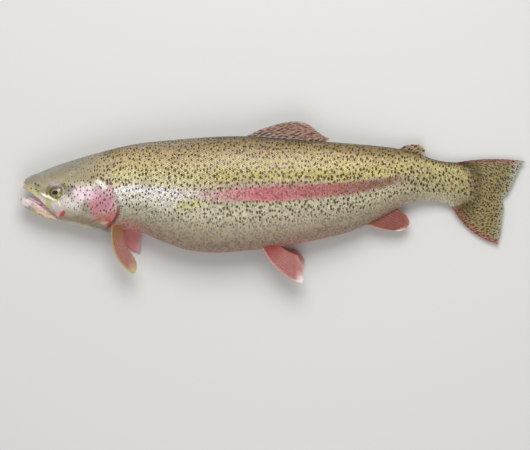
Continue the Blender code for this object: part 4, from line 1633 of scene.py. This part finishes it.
# %% Tongue
TONGUE = (19.4, -10.0)
TONGUE_RADII = (12.0, 2.7, 5.8)
TONGUE_SLOPE = math.radians(-24)
FURROW_DEPTH, FURROW_WIDTH = 0.28, 0.25      # shares of the tongue's half height and half width
TONGUE_PINK, TONGUE_SHADE = (250, 224, 230), (228, 188, 200)

tongue_bm = bmesh.new()
bmesh.ops.create_uvsphere(tongue_bm, u_segments=40, v_segments=24, radius=1.0)
for vert in tongue_bm.verts:
    vert.co.y -= FURROW_DEPTH * bump(vert.co.z, 0.0, FURROW_WIDTH) * max(vert.co.y, 0.0)
bmesh.ops.scale(tongue_bm, vec=[radius * MM for radius in TONGUE_RADII], verts=tongue_bm.verts)
bmesh.ops.rotate(tongue_bm, matrix=Matrix.Rotation(TONGUE_SLOPE, 3, "Z"), verts=tongue_bm.verts)
bmesh.ops.translate(tongue_bm, verts=tongue_bm.verts,
                    vec=to_frame((*TONGUE, float(SPINE(TONGUE[0])))))
tongue = add_piece("tongue_flesh", tongue_bm)
print("tongue:", len(tongue.data.polygons), "faces")


# %% The tongue's material
def tongue_material():
    """Wet pink flesh with soft mottling."""
    nodes = Nodes("tongue")
    place = nodes.add("ShaderNodeTexCoord").outputs["Object"]
    blotch = nodes.ramp(nodes.noise(place, 260.0, 3.0), 0.3, 0.6)
    nodes.bump(nodes.noise(place, 1300.0), 0.0003, 0.5)
    return nodes.finish(nodes.mix(rgb(*TONGUE_SHADE), rgb(*TONGUE_PINK), blotch), 0.35,
                        Coat_Weight=0.5, Coat_Roughness=0.1, Subsurface_Weight=0.2,
                        Subsurface_Scale=0.002)


tongue.data.materials.append(tongue_material())
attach(tongue, "root")
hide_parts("tongue")

# %% Teeth
UPPER_TEETH = curve([(5.6, 4.2), (8, 2.2), (12.6, 0), (17.4, -4), (21.6, -7.2), (25.9, -12)])
LOWER_TEETH = curve([(3.4, -5), (5.7, -5.8), (12.1, -7.6), (17.4, -10.4), (23.7, -14.8)])
TOOTH_HEIGHT, TOOTH_RADIUS, TOOTH_POINT = 0.9, 0.26, 0.06
TOOTH_LEAN = 16          # degrees that a tooth leans back
TEETH_IN_ROW = 11
LIP_THICKNESS = 2.3


def add_tooth(bm, place, down):
    """Add one small cone that leans back into the mouth."""
    made = bmesh.ops.create_cone(bm, cap_ends=True, segments=8, radius1=TOOTH_RADIUS * MM,
                                 radius2=TOOTH_POINT * MM, depth=TOOTH_HEIGHT * MM)["verts"]
    upright = Matrix.Rotation(math.radians(90 if down else -90), 3, "X")
    lean = Matrix.Rotation(math.radians(TOOTH_LEAN if down else -TOOTH_LEAN), 3, "Z")
    bmesh.ops.rotate(bm, matrix=lean @ upright, verts=made)
    bmesh.ops.translate(bm, vec=to_frame(place), verts=made)


teeth_bm = bmesh.new()
for line, down in ((UPPER_TEETH, True), (LOWER_TEETH, False)):
    row = evenly([(x, y, 0) for x, y in line], np.linspace(0.03, 0.97, TEETH_IN_ROW))
    for x, y, _ in row:
        reach = float(half_breadth(x)) - LIP_THICKNESS
        for side in (1, -1):
            add_tooth(teeth_bm, (x, y, float(SPINE(x)) + side * reach), down)
teeth = add_piece("teeth", teeth_bm)
enamel = Nodes("enamel")
cream = enamel.noise(enamel.add("ShaderNodeTexCoord").outputs["Object"], 900.0)
ivory = enamel.mix(rgb(232, 222, 196), rgb(246, 242, 230), cream)
teeth.data.materials.append(enamel.finish(ivory, 0.25, Coat_Weight=0.3, Coat_Roughness=0.1))
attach(teeth, "root")
print("teeth:", TEETH_IN_ROW * 4)

# %% [markdown]
# ## Camera, light and floor
#
# The fish lies on its side, so the camera looks straight down on it through a long lens. A
# large soft light stands on the back's side, and a weaker one fills from the belly.

# %% Camera
CAMERA_HEIGHT = 2.6
MIDDLE_OF_VIEW = (-0.0101, -0.0239)
VIEW_WIDTH = 0.5618          # width of the view at half the fish's height
SENSOR_WIDTH = 36.0

camera_data = bpy.data.cameras.new("camera")
camera_data.sensor_width = SENSOR_WIDTH
camera_data.lens = SENSOR_WIDTH * (CAMERA_HEIGHT - cad_box[1][2] / 2) / VIEW_WIDTH
camera = add_object("camera", camera_data)
camera.location = (*MIDDLE_OF_VIEW, CAMERA_HEIGHT)
bpy.context.scene.camera = camera
print("length of the lens in mm:", round(camera_data.lens, 1))


# %% Lights and world
ROOM_COLOUR, ROOM_STRENGTH = (1.0, 0.98, 0.95, 1.0), 0.42    # light that comes from all sides


def area_light(name, place, size, power):
    """Hang a soft square light that faces the fish."""
    data = bpy.data.lights.new(name, "AREA")
    data.size = size
    data.energy = power
    light = add_object(name, data)
    light.location = place
    light.rotation_euler = (-Vector(place)).to_track_quat("-Z", "Y").to_euler()


area_light("key_light", (0.0, 0.85, 1.3), size=0.9, power=15.0)
area_light("fill_light", (0.1, -0.9, 1.5), size=1.0, power=6.0)
world = bpy.data.worlds.new("studio")
world.use_nodes = True
background = world.node_tree.nodes["Background"]
background.inputs["Color"].default_value = ROOM_COLOUR
background.inputs["Strength"].default_value = ROOM_STRENGTH
bpy.context.scene.world = world
bpy.context.scene.view_settings.view_transform = "Standard"
print("lights:", len(bpy.data.lights))

# %% Floor
FLOOR_SIZE = 4.0
FLOOR_COLOUR, FLOOR_ROUGHNESS = (0.72, 0.72, 0.71, 1.0), 0.8

floor_bm = bmesh.new()
bmesh.ops.create_grid(floor_bm, x_segments=1, y_segments=1, size=FLOOR_SIZE)
floor = add_piece("floor", floor_bm)
floor.data.materials.append(Nodes("floor").finish(FLOOR_COLOUR, FLOOR_ROUGHNESS))
print("floor, from its middle to its edges in metres:", FLOOR_SIZE)
